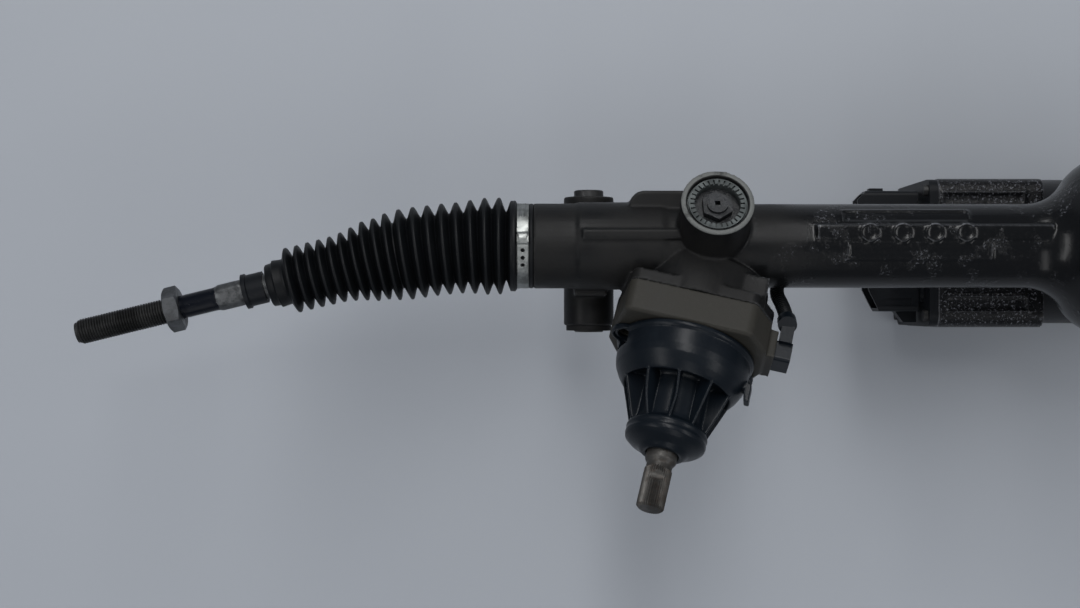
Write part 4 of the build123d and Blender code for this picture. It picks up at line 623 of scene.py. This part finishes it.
def make_boot(side, outwards, pitches, columns=96):
    """A boot from its box in the frame: a closed skin of rings along the bent line."""
    near_corner = 1 if outwards < 0 else 0
    big_end = local(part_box(f"{side}_boot")[near_corner])[0]
    ball = local(joints[f"{side}_swing"]["pos_m"])
    droop = acos(abs(mounts[f"{side}_tie_rod_thread"]["axis"][0]))
    corner = abs(ball[0] - big_end)
    cuff_low = abs(local(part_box(f"{side}_boot_cuff")[near_corner])[0] - ball[0])
    arc = 2 * BOOT_BEND - BOOT_BEND / tan(droop / 2) * droop
    length = corner - arc + cuff_low / cos(droop) - CUFF_GAP
    s, r = bellows_profile(pitches, length)
    inner = np.maximum(r - BOOT_WALL, 0)
    inner[s < COLLAR_LENGTH] = SPIGOT_R + SPIGOT_GAP
    s_all, r_all = np.concatenate([s, s[::-1]]), np.concatenate([r, inner[::-1]])
    out, down, turn = bent_line(s_all, corner, droop)
    angle = around(columns)
    across, up = np.cos(angle)[None] * r_all[:, None], np.sin(angle)[None] * r_all[:, None]
    x = out[:, None] + across * np.sin(turn)[:, None]
    y = -down[:, None] + across * np.cos(turn)[:, None]
    rings = np.stack([big_end + outwards * x, y, up], -1)
    return skin(f"{side}_bellows", place(rings), closed=True, smooth_angle=60)

# %% [markdown]
# A boot has to follow the steering: its big end stays on the housing and its small end
# goes where the tie rod goes. Two Hooks pull each point by a weight. The rack's weight
# grows along the wide rings, which take up the stroke in line with the bar. The rod's
# weight grows just past the ball, so the narrow rings lean with the rod.

# %% Boots that follow the tie rods
def hooked(piece, body, weight):
    """Pulls each point of the piece with a body, by its weight."""
    group = piece.vertex_groups.new(name=body)
    steps = np.round(weight * 200).astype(int)
    for step in np.unique(steps):
        group.add(np.flatnonzero(steps == step).tolist(), step / 200, "REPLACE")
    hook = piece.modifiers.new(body, "HOOK")
    hook.object = frame["bodies"][body]
    hook.vertex_group = group.name
    hook.falloff_type = "NONE"


COLLAR_HOLD = 12 * MM
STROKE_END = -4 * MM
LEAN_START, LEAN_END = -6 * MM, 30 * MM
for side, outwards, pitches in (("left", -1, LEFT_PITCH), ("right", 1, RIGHT_PITCH)):
    boot = make_boot(side, outwards, pitches)
    dress(boot, rubber, "housing", "boot_rubber", f"{side}_boot")
    big_end = min(outwards * corner.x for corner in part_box(f"{side}_boot"))
    ball_x = outwards * joints[f"{side}_swing"]["pos_m"][0]
    x = outwards * np.array([vertex.co.x for vertex in boot.data.vertices])
    lean = rise(x, ball_x + LEAN_START, ball_x + LEAN_END)
    stroke = rise(x, big_end + COLLAR_HOLD, ball_x + STROKE_END)
    hooked(boot, f"{side}_rod", lean)
    hooked(boot, "rack", stroke * (1 - lean))

# %% [markdown]
# ## Tie rods
#
# The thread is rolled, so its crests are round and its pitch is even: radius as a function
# of both the length and the angle gives a true helix in one formula. Between thread and
# boot the rod has two flats for a spanner, where the radius is cut at a level line.

# %% Thread, shank and ball of a tie rod
THREAD_PITCH = 1.5
THREAD_DEPTH = 0.92
ROOT_FADE, CREST_SHARE = 0.55, 1.28
ROD_R = 6.95
ROD_LENGTH = 203.0
BALL_R = 11.5
NECK_R = 6.0
THREAD_START = 146.5
SHANK_R = 6.72
FLATS = (109.5, 120.5)
HALF_FLATS, FLAT_CORNER_R = 6.05, 7.25
BALL_END = 9.8
NECK_OUT = (22, 34)
WAIST, RELIEF = (121, 125), (140, 144)
BARE_END, PAINT_END = 126.2, 148.0
WORN_BAND = (166, 180)


def tie_rod_radius(s, angle):
    """Radius at length s and angle: ball, neck, shank, flats, waist, then the helix."""
    ball = np.sqrt(np.maximum(BALL_R ** 2 - s ** 2, 0))
    shank = NECK_R + (SHANK_R - NECK_R) * rise(s, *NECK_OUT)
    shank = shank - 0.30 * rise(s, *WAIST) - 0.15 * rise(s, *RELIEF)
    body = np.where((s < BALL_END) & (ball > NECK_R), ball, shank)
    turn = angle * np.ones_like(s)
    flats = window(s, FLATS[0] - 2.5, FLATS[1] + 2.5, 2.5)
    corner = np.minimum(HALF_FLATS / np.maximum(np.abs(np.sin(turn)), 1e-6), FLAT_CORNER_R)
    body = body + flats * (corner - body)
    phase = (s / THREAD_PITCH - turn / (2 * pi)) % 1
    crest = 1 - np.abs(2 * phase - 1)
    profile = rise(crest * CREST_SHARE, 0, 1)
    root = ROD_R - THREAD_DEPTH
    runout = rise(s, THREAD_START, THREAD_START + 2)
    end = rise(s, ROD_LENGTH - 3.0, ROD_LENGTH - 0.4)
    thread = root - ROOT_FADE * end + THREAD_DEPTH * profile * runout * (1 - 0.75 * end)
    return np.where(s < THREAD_START, body, thread)


def rod_stations():
    """Lengths at which the rod gets a ring: close together where its shape changes."""
    bow = -np.sqrt(BALL_R ** 2 - 0.6 ** 2) * np.cos(np.linspace(0, 2.2, 22))
    return np.concatenate([
        bow[bow < BALL_END - 0.1],
        [BALL_END, 12, 22, 25, 28, 31, 34, 60, 90, 100],
        np.linspace(104, 126, 45),
        [132, 138, 140, 142, 144, 146],
        np.arange(THREAD_START, ROD_LENGTH - 0.05, THREAD_PITCH / 9),
        [ROD_LENGTH - 0.02, ROD_LENGTH],
    ])


def rod_frame(side):
    """The ball's centre in millimetres, the rod's direction, and the level one across it."""
    ball = local(joints[f"{side}_swing"]["pos_m"])
    along = np.array(mounts[f"{side}_tie_rod_thread"]["axis"], float)
    return ball, along, np.cross([0, 0, 1], along)


def rings_about(origin, along, side, s, radius, columns):
    """Rings square to a straight axis; radius is a function of length and angle."""
    up = np.cross(along, side)
    angle = around(columns)[None]
    r = radius(s[:, None], angle)
    ring = np.cos(angle)[..., None] * side + np.sin(angle)[..., None] * up
    centres = np.asarray(origin) + s[:, None] * np.asarray(along)
    return centres[:, None] + r[..., None] * ring


def rod_finish(side):
    """Black paint that flaked off the flats, a dark thread with a worn band."""
    ball, along, _ = rod_frame(side)
    sheet = Sheet(f"{side}_rod_finish")
    s = sheet.along(along, place(ball))
    ragged = sheet.noise(7, detail=5, rough=0.6, seed=1.2) * 7.0
    film = sheet.noise(5, detail=6, rough=0.7, seed=3.8)
    pits = sheet.noise(0.9, detail=4, rough=0.8, seed=8.1)
    painted = (s + ragged).step(BARE_END, BARE_END + 0.8)
    painted = painted * (1.0 - s.step(PAINT_END, PAINT_END + 1.0))
    chips = sheet.noise(2.6, detail=4, rough=0.7, seed=6.4).step(0.66, 0.69)
    painted = painted * (1.0 - chips * 0.9)
    thread = s.step(THREAD_START - 1.0, THREAD_START + 0.5)
    band = s.step(WORN_BAND[0], WORN_BAND[0] + 3) * (1.0 - s.step(WORN_BAND[1] - 3, WORN_BAND[1]))
    bare = sheet.mix(film.step(0.38, 0.66), rgb(0.105, 0.108, 0.110), rgb(0.046, 0.048, 0.050))
    bare = sheet.mix(pits.step(0.58, 0.72) * 0.7, bare, rgb(0.020, 0.019, 0.018))
    iron = sheet.mix(film.step(0.35, 0.7), rgb(0.034, 0.034, 0.034), rgb(0.014, 0.014, 0.0145))
    iron = sheet.mix(band * 0.75, iron, rgb(0.012, 0.012, 0.012))
    colour = sheet.mix(thread, bare, iron)
    colour = sheet.mix(painted, colour, rgb(0.0022, 0.0032, 0.0060))
    roughness = 0.38 + film * 0.12 - painted * 0.20
    height = pits + painted * 2.0
    return sheet.finish(colour, roughness, 0.75 - painted * 0.75 - thread * 0.15, height, 0.08, **DARK)


for side in ("left", "right"):
    ball, along, across = rod_frame(side)
    s = rod_stations()
    rings = rings_about(ball, along, across, s, tie_rod_radius, 72)
    rod = skin(f"{side}_threaded_rod", place(rings), smooth_angle=40)
    dress(rod, rod_finish(side), f"{side}_rod", "rod_steel", f"{side}_tie_rod")

# %% [markdown]
# ## Boot clamps
#
# The band is folded from a strip: two beads pressed along it, an ear that is crimped shut
# to tighten it, and a tongue with three round holes over the joint. The holes are real, so
# the black rubber shows through them.

# %% Band, ear and tongue of a clamp
BAND_THICK = 0.7
BEAD_HEIGHT, BEAD_APART, BEAD_WIDTH = 0.45, 2.5, 0.5
BEADS = (radians(8), radians(52))
LAP = (radians(50), radians(74))
EAR = (radians(73), radians(90))
EAR_HEIGHT, EAR_PINCH = 1.9, 0.36
TONGUE = (radians(89), radians(136))
TONGUE_HOLES = (radians(97.5), radians(107.5), radians(117.5))
TONGUE_HOLE_R = 1.15


def strip(low, high, floor, thick, span, columns, relief=None, taper=None):
    """A strip bent round the bar over a span of angles, from +Y up over the top (+Z).

    Relief lifts its outside, taper narrows it."""
    whole = span[1] - span[0] > 2 * pi - 1e-6
    angle = np.linspace(*span, columns, endpoint=not whole)
    half = (high - low) / 2
    across = half * np.concatenate([[-1.0], np.linspace(-0.94, 0.94, 17), [1.0]])
    crown = np.full(len(across), floor + thick)
    crown[[0, -1]] -= 0.2
    u = np.concatenate([across, [0.98 * half, -0.98 * half]])
    r = np.concatenate([crown, [floor, floor]])
    u, r = u[None] * np.ones((columns, 1)), r[None] * np.ones((columns, 1))
    if relief is not None:
        r = r + relief(angle[:, None], u)
    if taper is not None:
        u = u * taper(angle)[:, None]
    x = (low + high) / 2 + u
    return skin("strip", place(np.stack([x, r * np.cos(angle)[:, None], r * np.sin(angle)[:, None]], -1)),
                closed=whole)


def two_beads(angle, u):
    """Two beads pressed outwards along the band."""
    each = [np.exp(-((u - offset) / BEAD_WIDTH) ** 2) for offset in (BEAD_APART / 2, -BEAD_APART / 2)]
    return BEAD_HEIGHT * sum(each) * window(angle, *BEADS, radians(4))


def ear_bow(angle):
    """The rise of the crimped ear, from 0 to 1 and back."""
    return np.sin(pi * np.clip((angle - EAR[0]) / (EAR[1] - EAR[0]), 0, 1))


def even(radius):
    """The same radius all over, for rings_about."""
    return lambda s, angle: radius + 0 * s * angle


def drills(middle):
    """The pegs that drill the three holes of the tongue."""
    pegs = []
    for angle in TONGUE_HOLES:
        out = np.array([0, cos(angle), sin(angle)])
        foot = np.array([middle, 0, 0]) + (COLLAR_R - 0.3) * out
        rings = rings_about(foot, out, np.array([1.0, 0, 0]), np.array([0.0, 3.0]),
                            even(TONGUE_HOLE_R), 24)
        pegs.append(skin("drill", place(rings)))
    return joined(pegs, "drills")


def make_clamp(side):
    """Band and tongue are drilled apart, because their overlap would stay in one cut."""
    low, high = sorted(local(corner)[0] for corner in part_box(f"{side}_boot_clamp"))
    middle = (low + high) / 2
    top = COLLAR_R + BAND_THICK - 0.05
    band = strip(low, high, COLLAR_R, BAND_THICK, (0.0, 2 * pi), 240, two_beads)
    ear = strip(low, high, top, BAND_THICK, EAR, 40,
                lambda angle, u: EAR_HEIGHT * ear_bow(angle) ** 0.7 + 0 * u,
                lambda angle: 1 - EAR_PINCH * ear_bow(angle) ** 2)
    tongue = strip(low + 0.3, high - 0.3, top, BAND_THICK, TONGUE, 60)
    lapped = strip(low + 0.1, high - 0.1, top, 0.5 * BAND_THICK, LAP, 40)
    band = carved(band, drills(middle))
    tongue = carved(tongue, drills(middle))
    return joined([band, tongue, ear, lapped], f"{side}_band_clamp")


for side in ("left", "right"):
    dress(make_clamp(side), zinc, "housing", "zinc_steel", f"{side}_boot_clamp")

# %% [markdown]
# ## Input shaft
#
# The steering column's joint slides on a serrated end: 36 fine teeth and one clamp groove.
# Again the radius is a function of length and angle.

# %% Serrated shaft
SERRATIONS = 36
SERRATION_DEPTH = 0.62
SPLINE_R = 7.45
INPUT_R, INPUT_FOOT_R = 8.4, 6.0
INPUT_FOOT, INPUT_SHOULDER, INPUT_STEP, INPUT_END = 38.0, 57.0, 128.0, 153.0
GROOVE_AT, GROOVE_R, GROOVE_DEEP = 136.0, 4.0, 1.5
pinion_axis = np.array(joints["pinion_spin"]["axis"], float)
pinion_zero = local(joints["pinion_spin"]["pos_m"])
pinion_up = np.cross(pinion_axis, [1, 0, 0])
pinion_up /= np.linalg.norm(pinion_up)
pinion_side = np.cross(pinion_up, pinion_axis)


def input_radius(s, angle):
    """Plain shaft, a shallow step, V teeth that fade out at both ends, and the clamp groove."""
    step = rise(s, INPUT_STEP - 3, INPUT_STEP)
    shoulder = rise(s, INPUT_SHOULDER, INPUT_SHOULDER + 0.5)
    plain = INPUT_FOOT_R + (INPUT_R - INPUT_FOOT_R) * shoulder
    body = plain - (INPUT_R - SPLINE_R + 0.5) * step
    toothed = rise(s, INPUT_STEP + 2.0, INPUT_STEP + 3.0)
    tooth = np.abs(2 * ((angle * SERRATIONS / (2 * pi)) % 1) - 1)
    chamfer = 1.2 * rise(s, INPUT_END - 1.3, INPUT_END)
    serrated = SPLINE_R - SERRATION_DEPTH * tooth - chamfer
    dip = np.maximum(GROOVE_R ** 2 - (s - GROOVE_AT) ** 2, 0)
    floor = SPLINE_R + GROOVE_R - GROOVE_DEEP - np.sqrt(dip)
    facing = np.maximum(np.sin(angle), 1e-3)
    notch = np.where(dip > 0, floor / facing, 99.0)
    return np.minimum(body + toothed * (serrated - body), notch)


foot_stations = [INPUT_FOOT, 45, INPUT_SHOULDER, INPUT_SHOULDER + 0.5, 58, 80, 100, 118]
stations = np.concatenate([foot_stations, np.linspace(120, INPUT_END, 90)])
rings = rings_about(pinion_zero, pinion_axis, pinion_side, stations, input_radius, 6 * SERRATIONS)
shaft = skin("serrated_shaft", place(rings), smooth_angle=50)
dress(shaft, shaft_steel, "input", "machined_steel", "input_shaft")

# %% [markdown]
# ## The moulded bell over the pinion
#
# A dome covers the sensor, a slim neck goes on to the lip round the shaft, and ten fins
# tie neck and dome. Dome, neck and lip are one turned profile, closed along its inside.
# At each screw of the sensor cap the skirt has an ear, with a round pocket for the tool.

# %% Bell, fins and screw pockets
BELL_OUTLINE = [
    (37.0, 59.2), (38.0, 59.8), (38.2, 61.6), (37.4, 62.8), (36.6, 63.2), (36.5, 68.0), (36.3, 72.0),
    (35.4, 76.0), (33.2, 80.2), (30.8, 83.4), (29.6, 84.6), (28.4, 84.2), (26.0, 82.0), (20.6, 81.0),
    (18.9, 82.4), (18.5, 86.0), (18.3, 103.5), (18.9, 106.0), (20.6, 107.2), (21.8, 108.2),
    (22.2, 109.6), (21.7, 110.9), (21.7, 112.1), (22.1, 113.0), (21.6, 115.0), (19.2, 117.0),
    (14.0, 119.6), (12.4, 121.2), (11.2, 122.0), (9.2, 122.0), (8.8, 121.2), (8.8, 115.4),
    (10.8, 114.0), (16.2, 112.0), (16.3, 84.0), (18.0, 79.6), (24.0, 78.8), (30.2, 77.6),
    (33.4, 72.6), (34.5, 66.0), (34.8, 59.2),
]
FIN_COUNT = 10
FIN_FOOT, FIN_TOP = 76.0, 108.0
FIN_WIDTH, FIN_WAVE = 1.6, 0.6
FIN_REACH = (30.4, 31.4, 21.4)
NECK_INSIDE = 17.6
SCREW_LUGS = (163.0, 333.0, 250.0)
LUG_REACH = 33.5
EAR_R, EAR_SPAN = 9.6, (59.3, 62.4)
POCKET_R, POCKET_SPAN = 7.7, (61.3, 69.5)
SCREW_R, SCREW_SPAN = 5.9, (57.0, 63.0)
CATCH_ANGLE, CATCH_REACH, CATCH_WIDTH = 8.0, 36.0, 7.0
CATCH_OUTLINE = [(0.0, 72.0), (3.4, 74.0), (3.4, 84.0), (0.6, 84.0), (-0.4, 78.0)]


def about_pinion(angle):
    """The direction at an angle about the pinion axis."""
    return cos(angle) * pinion_side + sin(angle) * pinion_up


def lug_pegs(reach, radius, span, name):
    """Round pegs along the pinion axis, one at each screw lug, as one tool."""
    pegs = []
    side = np.cross(pinion_axis, [0.31, 0.52, 0.79])
    side /= np.linalg.norm(side)
    for angle in SCREW_LUGS:
        foot = pinion_zero + reach * about_pinion(radians(angle))
        rings = rings_about(foot, pinion_axis, side, np.array(span), even(radius), 48)
        pegs.append(skin("peg", place(rings)))
    return joined(pegs, name)


def make_catch():
    """The catch at the skirt's edge: a flat outline, with half its width to each side."""
    out = about_pinion(radians(CATCH_ANGLE))
    across = np.cross(pinion_axis, out) * CATCH_WIDTH / 2
    flat = np.array([pinion_zero + (CATCH_REACH + reach) * out + height * pinion_axis
                     for reach, height in CATCH_OUTLINE])
    return skin("catch", place(np.stack([flat - across, flat + across])))


def make_fin(angle, wave):
    """A wedge from the neck out to a straight outer edge, rounded along that edge."""
    t = np.linspace(FIN_FOOT, FIN_TOP, 18)
    outer = np.interp(t, [FIN_FOOT, FIN_FOOT + 5.0, FIN_TOP], FIN_REACH)
    inner = np.full_like(t, NECK_INSIDE)
    bend = wave * np.sin(np.linspace(0, 2.4 * pi, len(t)))
    r = np.stack([inner, outer - 0.5, outer, outer, outer - 0.5, inner], 1)
    w = FIN_WIDTH / 2 * np.array([-1.3, -1.0, -0.5, 0.5, 1.0, 1.3])[None] * np.ones((len(t), 1))
    w[:, 1:5] += bend[:, None]
    out = about_pinion(angle)
    across = np.cross(pinion_axis, out)
    points = pinion_zero + t[:, None, None] * pinion_axis + r[..., None] * out + w[..., None] * across
    return skin("fin", place(points))


bell_points = np.array(BELL_OUTLINE)
bell_rings = rings_about(pinion_zero, pinion_axis, pinion_side, bell_points[:, 1],
                         lambda s, t: bell_points[:, :1] + 0 * t, 128)
bell = skin("bell", place(bell_rings), closed=True, smooth_angle=42)
wave_of = np.random.default_rng(4).uniform(-FIN_WAVE, FIN_WAVE, FIN_COUNT)
fins = [make_fin(2 * pi * (k + 0.5) / FIN_COUNT, wave_of[k]) for k in range(FIN_COUNT)]
bell = carved(bell, lug_pegs(LUG_REACH, EAR_R, EAR_SPAN, "ears"), "UNION")
bell = carved(bell, lug_pegs(LUG_REACH + 0.4, POCKET_R, POCKET_SPAN, "pockets"))
bell = carved(bell, lug_pegs(LUG_REACH, SCREW_R, SCREW_SPAN, "holes"))
bell = joined([bell, *fins, make_catch()], "pinion_bell")

# %% [markdown]
# ## Sensor cable
#
# The leads of the sensor run in a corrugated sleeve. Its middle line is a smooth NURBS
# curve, with the listed points of the CAD tube as its control points. Blender works
# the curve out, and rings with a rippled radius are carried along it.

# %% Corrugated sleeve along a smooth curve
CABLE_R = 4.0
RIPPLE_PITCH, RIPPLE_DEPTH = 2.3, 0.7
CABLE_ROUTE = [
    (41.0, -41.0, 12.0), (42.0, -35.0, -2.0), (39.0, -24.0, -24.0), (50.0, -8.0, -34.0),
    (70.0, -4.0, -35.0), (88.0, -3.0, -42.0), (101.0, -2.0, -58.0), (118.0, -2.0, -68.0),
]


def smooth_route(route):
    """Points along a NURBS curve with the route's points as its control points."""
    curve = bpy.data.curves.new("route", "CURVE")
    curve.dimensions = "3D"
    spline = curve.splines.new("NURBS")
    spline.points.add(len(route) - 1)
    for point, spot in zip(spline.points, place(route)):
        point.co = (*spot, 1.0)
    spline.order_u = 3
    spline.use_endpoint_u = True
    spline.resolution_u = 24
    holder = bpy.data.objects.new("route", curve)
    bpy.context.scene.collection.objects.link(holder)
    line = bpy.data.meshes.new_from_object(holder)
    points = np.array([vertex.co for vertex in line.vertices])
    bpy.data.objects.remove(holder)
    return points


def carried(line, radius, columns):
    """Rings along any line. The side vector is carried along, so that the tube never twists."""
    heading = np.gradient(line, axis=0)
    heading /= np.linalg.norm(heading, axis=1, keepdims=True)
    side = np.cross(heading[0], [0.3, 0.2, 1.0])
    sides = []
    for direction in heading:
        side = side - (side @ direction) * direction
        side = side / np.linalg.norm(side)
        sides.append(side)
    sides = np.array(sides)
    ups = np.cross(heading, sides)
    angle = around(columns)[None, :, None]
    ring = np.cos(angle) * sides[:, None] + np.sin(angle) * ups[:, None]
    return line[:, None] + radius[:, None, None] * ring


line = smooth_route(CABLE_ROUTE)
gone = np.concatenate([[0], np.cumsum(np.linalg.norm(np.diff(line, axis=0), axis=1))])
ripples = int(gone[-1] / (RIPPLE_PITCH * MM))
stops = np.linspace(0, gone[-1], ripples * 6 + 1)
line = np.stack([np.interp(stops, gone, line[:, k]) for k in range(3)], 1)
ripple = np.clip(1.3 * np.cos(2 * pi * ripples * stops / gone[-1]), -1, 1)
sleeve_r = CABLE_R - RIPPLE_DEPTH / 2 * (1 - ripple)
sleeve = skin("corrugated_sleeve", carried(line, sleeve_r * MM, 28))
dress(sleeve, sleeve_plastic, "housing", "cable_sleeve", "sensor_cable")
print("sensor cable", round(gone[-1] / MM, 1), "mm")

# %% [markdown]
# ## Castings
#
# A casting has no sharp corners: the mould needs a small round at every edge and root. The
# CAD solid is exact and sharp, so a copy of it is merged, remeshed in small voxels and
# smoothed a little. That gives the rounds everywhere at once, as real geometry. The bell
# goes the same way, which also makes one skin of its dome, fins and catch.

# %% Soften a copy of a solid
def copy_of(node, name):
    """A free copy of a CAD solid."""
    piece = nodes[node].copy()
    piece.data = nodes[node].data.copy()
    piece.name = name
    piece.parent = None
    for key in [key for key in piece.keys() if key.startswith("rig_")]:
        del piece[key]
    bpy.context.scene.collection.objects.link(piece)
    return piece


def softened(piece, voxel, passes, budget):
    """Merge, remesh in voxels, smooth, and thin to a budget of triangles."""
    weld = piece.modifiers.new("weld", "WELD")
    weld.merge_threshold = 2e-6
    remesh = piece.modifiers.new("remesh", "REMESH")
    remesh.mode = "VOXEL"
    remesh.voxel_size = voxel * MM
    remesh.adaptivity = 0.0
    soften = piece.modifiers.new("soften", "SMOOTH")
    soften.factor = 0.5
    soften.iterations = passes
    bpy.context.view_layer.update()
    ready = piece.evaluated_get(bpy.context.evaluated_depsgraph_get())
    count = sum(len(p.vertices) - 2 for p in ready.data.polygons)
    if count > budget:
        thin = piece.modifiers.new("thin", "DECIMATE")
        thin.ratio = budget / count
    settled(piece)
    piece.data.shade_smooth()
    piece.data.set_sharp_from_angle(angle=radians(50))
    print(piece.name, "triangles", count, "kept", len(piece.data.polygons))
    return piece


LARGE_VOXEL = 0.85
BUDGET = 120000
housing = softened(copy_of("rack_housing", "housing_casting"), LARGE_VOXEL, 2, 195000)
dress(housing, housing_finish, "housing", "cast_housing", "rack_housing")
cover = softened(copy_of("belt_cover", "cover_casting"), 1.5 * LARGE_VOXEL, 3, BUDGET)
dress(cover, drive_finish, "housing", "cast_drive", "belt_cover")
cap = softened(copy_of("sensor_housing", "sensor_casting"), 0.6, 3, BUDGET)
dress(cap, sensor_finish, "housing", "cast_housing", "sensor_housing")
case = softened(copy_of("ecu_housing", "unit_casting"), 0.8, 2, BUDGET)
dress(case, unit_finish, "housing", "cast_drive", "ecu_housing")
softened(bell, 0.45, 2, 150000)
dress(bell, bell_plastic, "housing", "black_moulding", "pinion_cover")

# %% [markdown]
# ## Bench and light
#
# The bench top is a pale sheet, with broad clouds of painted shade on it. Four wide lamps
# hang round the unit, two metres up. With a pale world they light it softly, so that a colour
# renders about as it is written.

# %% Bench top, lamps and world
FLOOR_COLOUR, FLOOR_PAINTED_SHADE = rgb(0.335, 0.355, 0.385), rgb(0.30, 0.32, 0.355)
FLOOR_SIZE, FLOOR_GAP = 30, 0.0002
LAMP_TARGET = (0.05, 0.0, -0.05)
bpy.ops.mesh.primitive_plane_add(size=FLOOR_SIZE, location=(0, 0, cad_box[0][2] - FLOOR_GAP))
floor = bpy.context.object
floor.name = "bench_top"
sheet = Sheet("bench_top")
# Broad darker clouds on the bench top are painted shade, for light that falls unevenly.
painted_shade_clouds = sheet.noise(420, detail=3, seed=0.4)
top_colour = sheet.mix(painted_shade_clouds.step(0.3, 0.7) * 0.35, FLOOR_COLOUR, FLOOR_PAINTED_SHADE)
floor.data.materials.append(sheet.finish(top_colour, 0.55))

world = bpy.data.worlds.new("workshop")
bpy.context.scene.world = world
world.use_nodes = True
sky = world.node_tree.nodes["Background"].inputs
sky["Color"].default_value = rgb(0.80, 0.87, 1.0)
sky["Strength"].default_value = 0.22


def lamp(name, spot, size, power):
    """A wide soft lamp that looks at the unit."""
    light = bpy.data.lights.new(name, "AREA")
    light.shape = "RECTANGLE"
    light.size, light.size_y = size
    light.energy = power
    holder = bpy.data.objects.new(name, light)
    holder.location = spot
    x, y, z = np.array(spot) - np.array(LAMP_TARGET)
    holder.rotation_euler = (0, atan2(sqrt(x ** 2 + y ** 2), z), atan2(y, x))
    bpy.context.scene.collection.objects.link(holder)


lamp("ceiling_left", (-1.9, -0.2, 2.0), (0.5, 2.6), 19)
lamp("ceiling_right", (2.1, -0.3, 2.0), (0.5, 2.6), 21)
lamp("ceiling_top", (0.05, 1.6, 2.0), (2.6, 0.5), 42)
lamp("ceiling_low", (0.05, -1.7, 2.0), (2.6, 0.5), 9)
bpy.context.scene.view_settings.view_transform = "Standard"
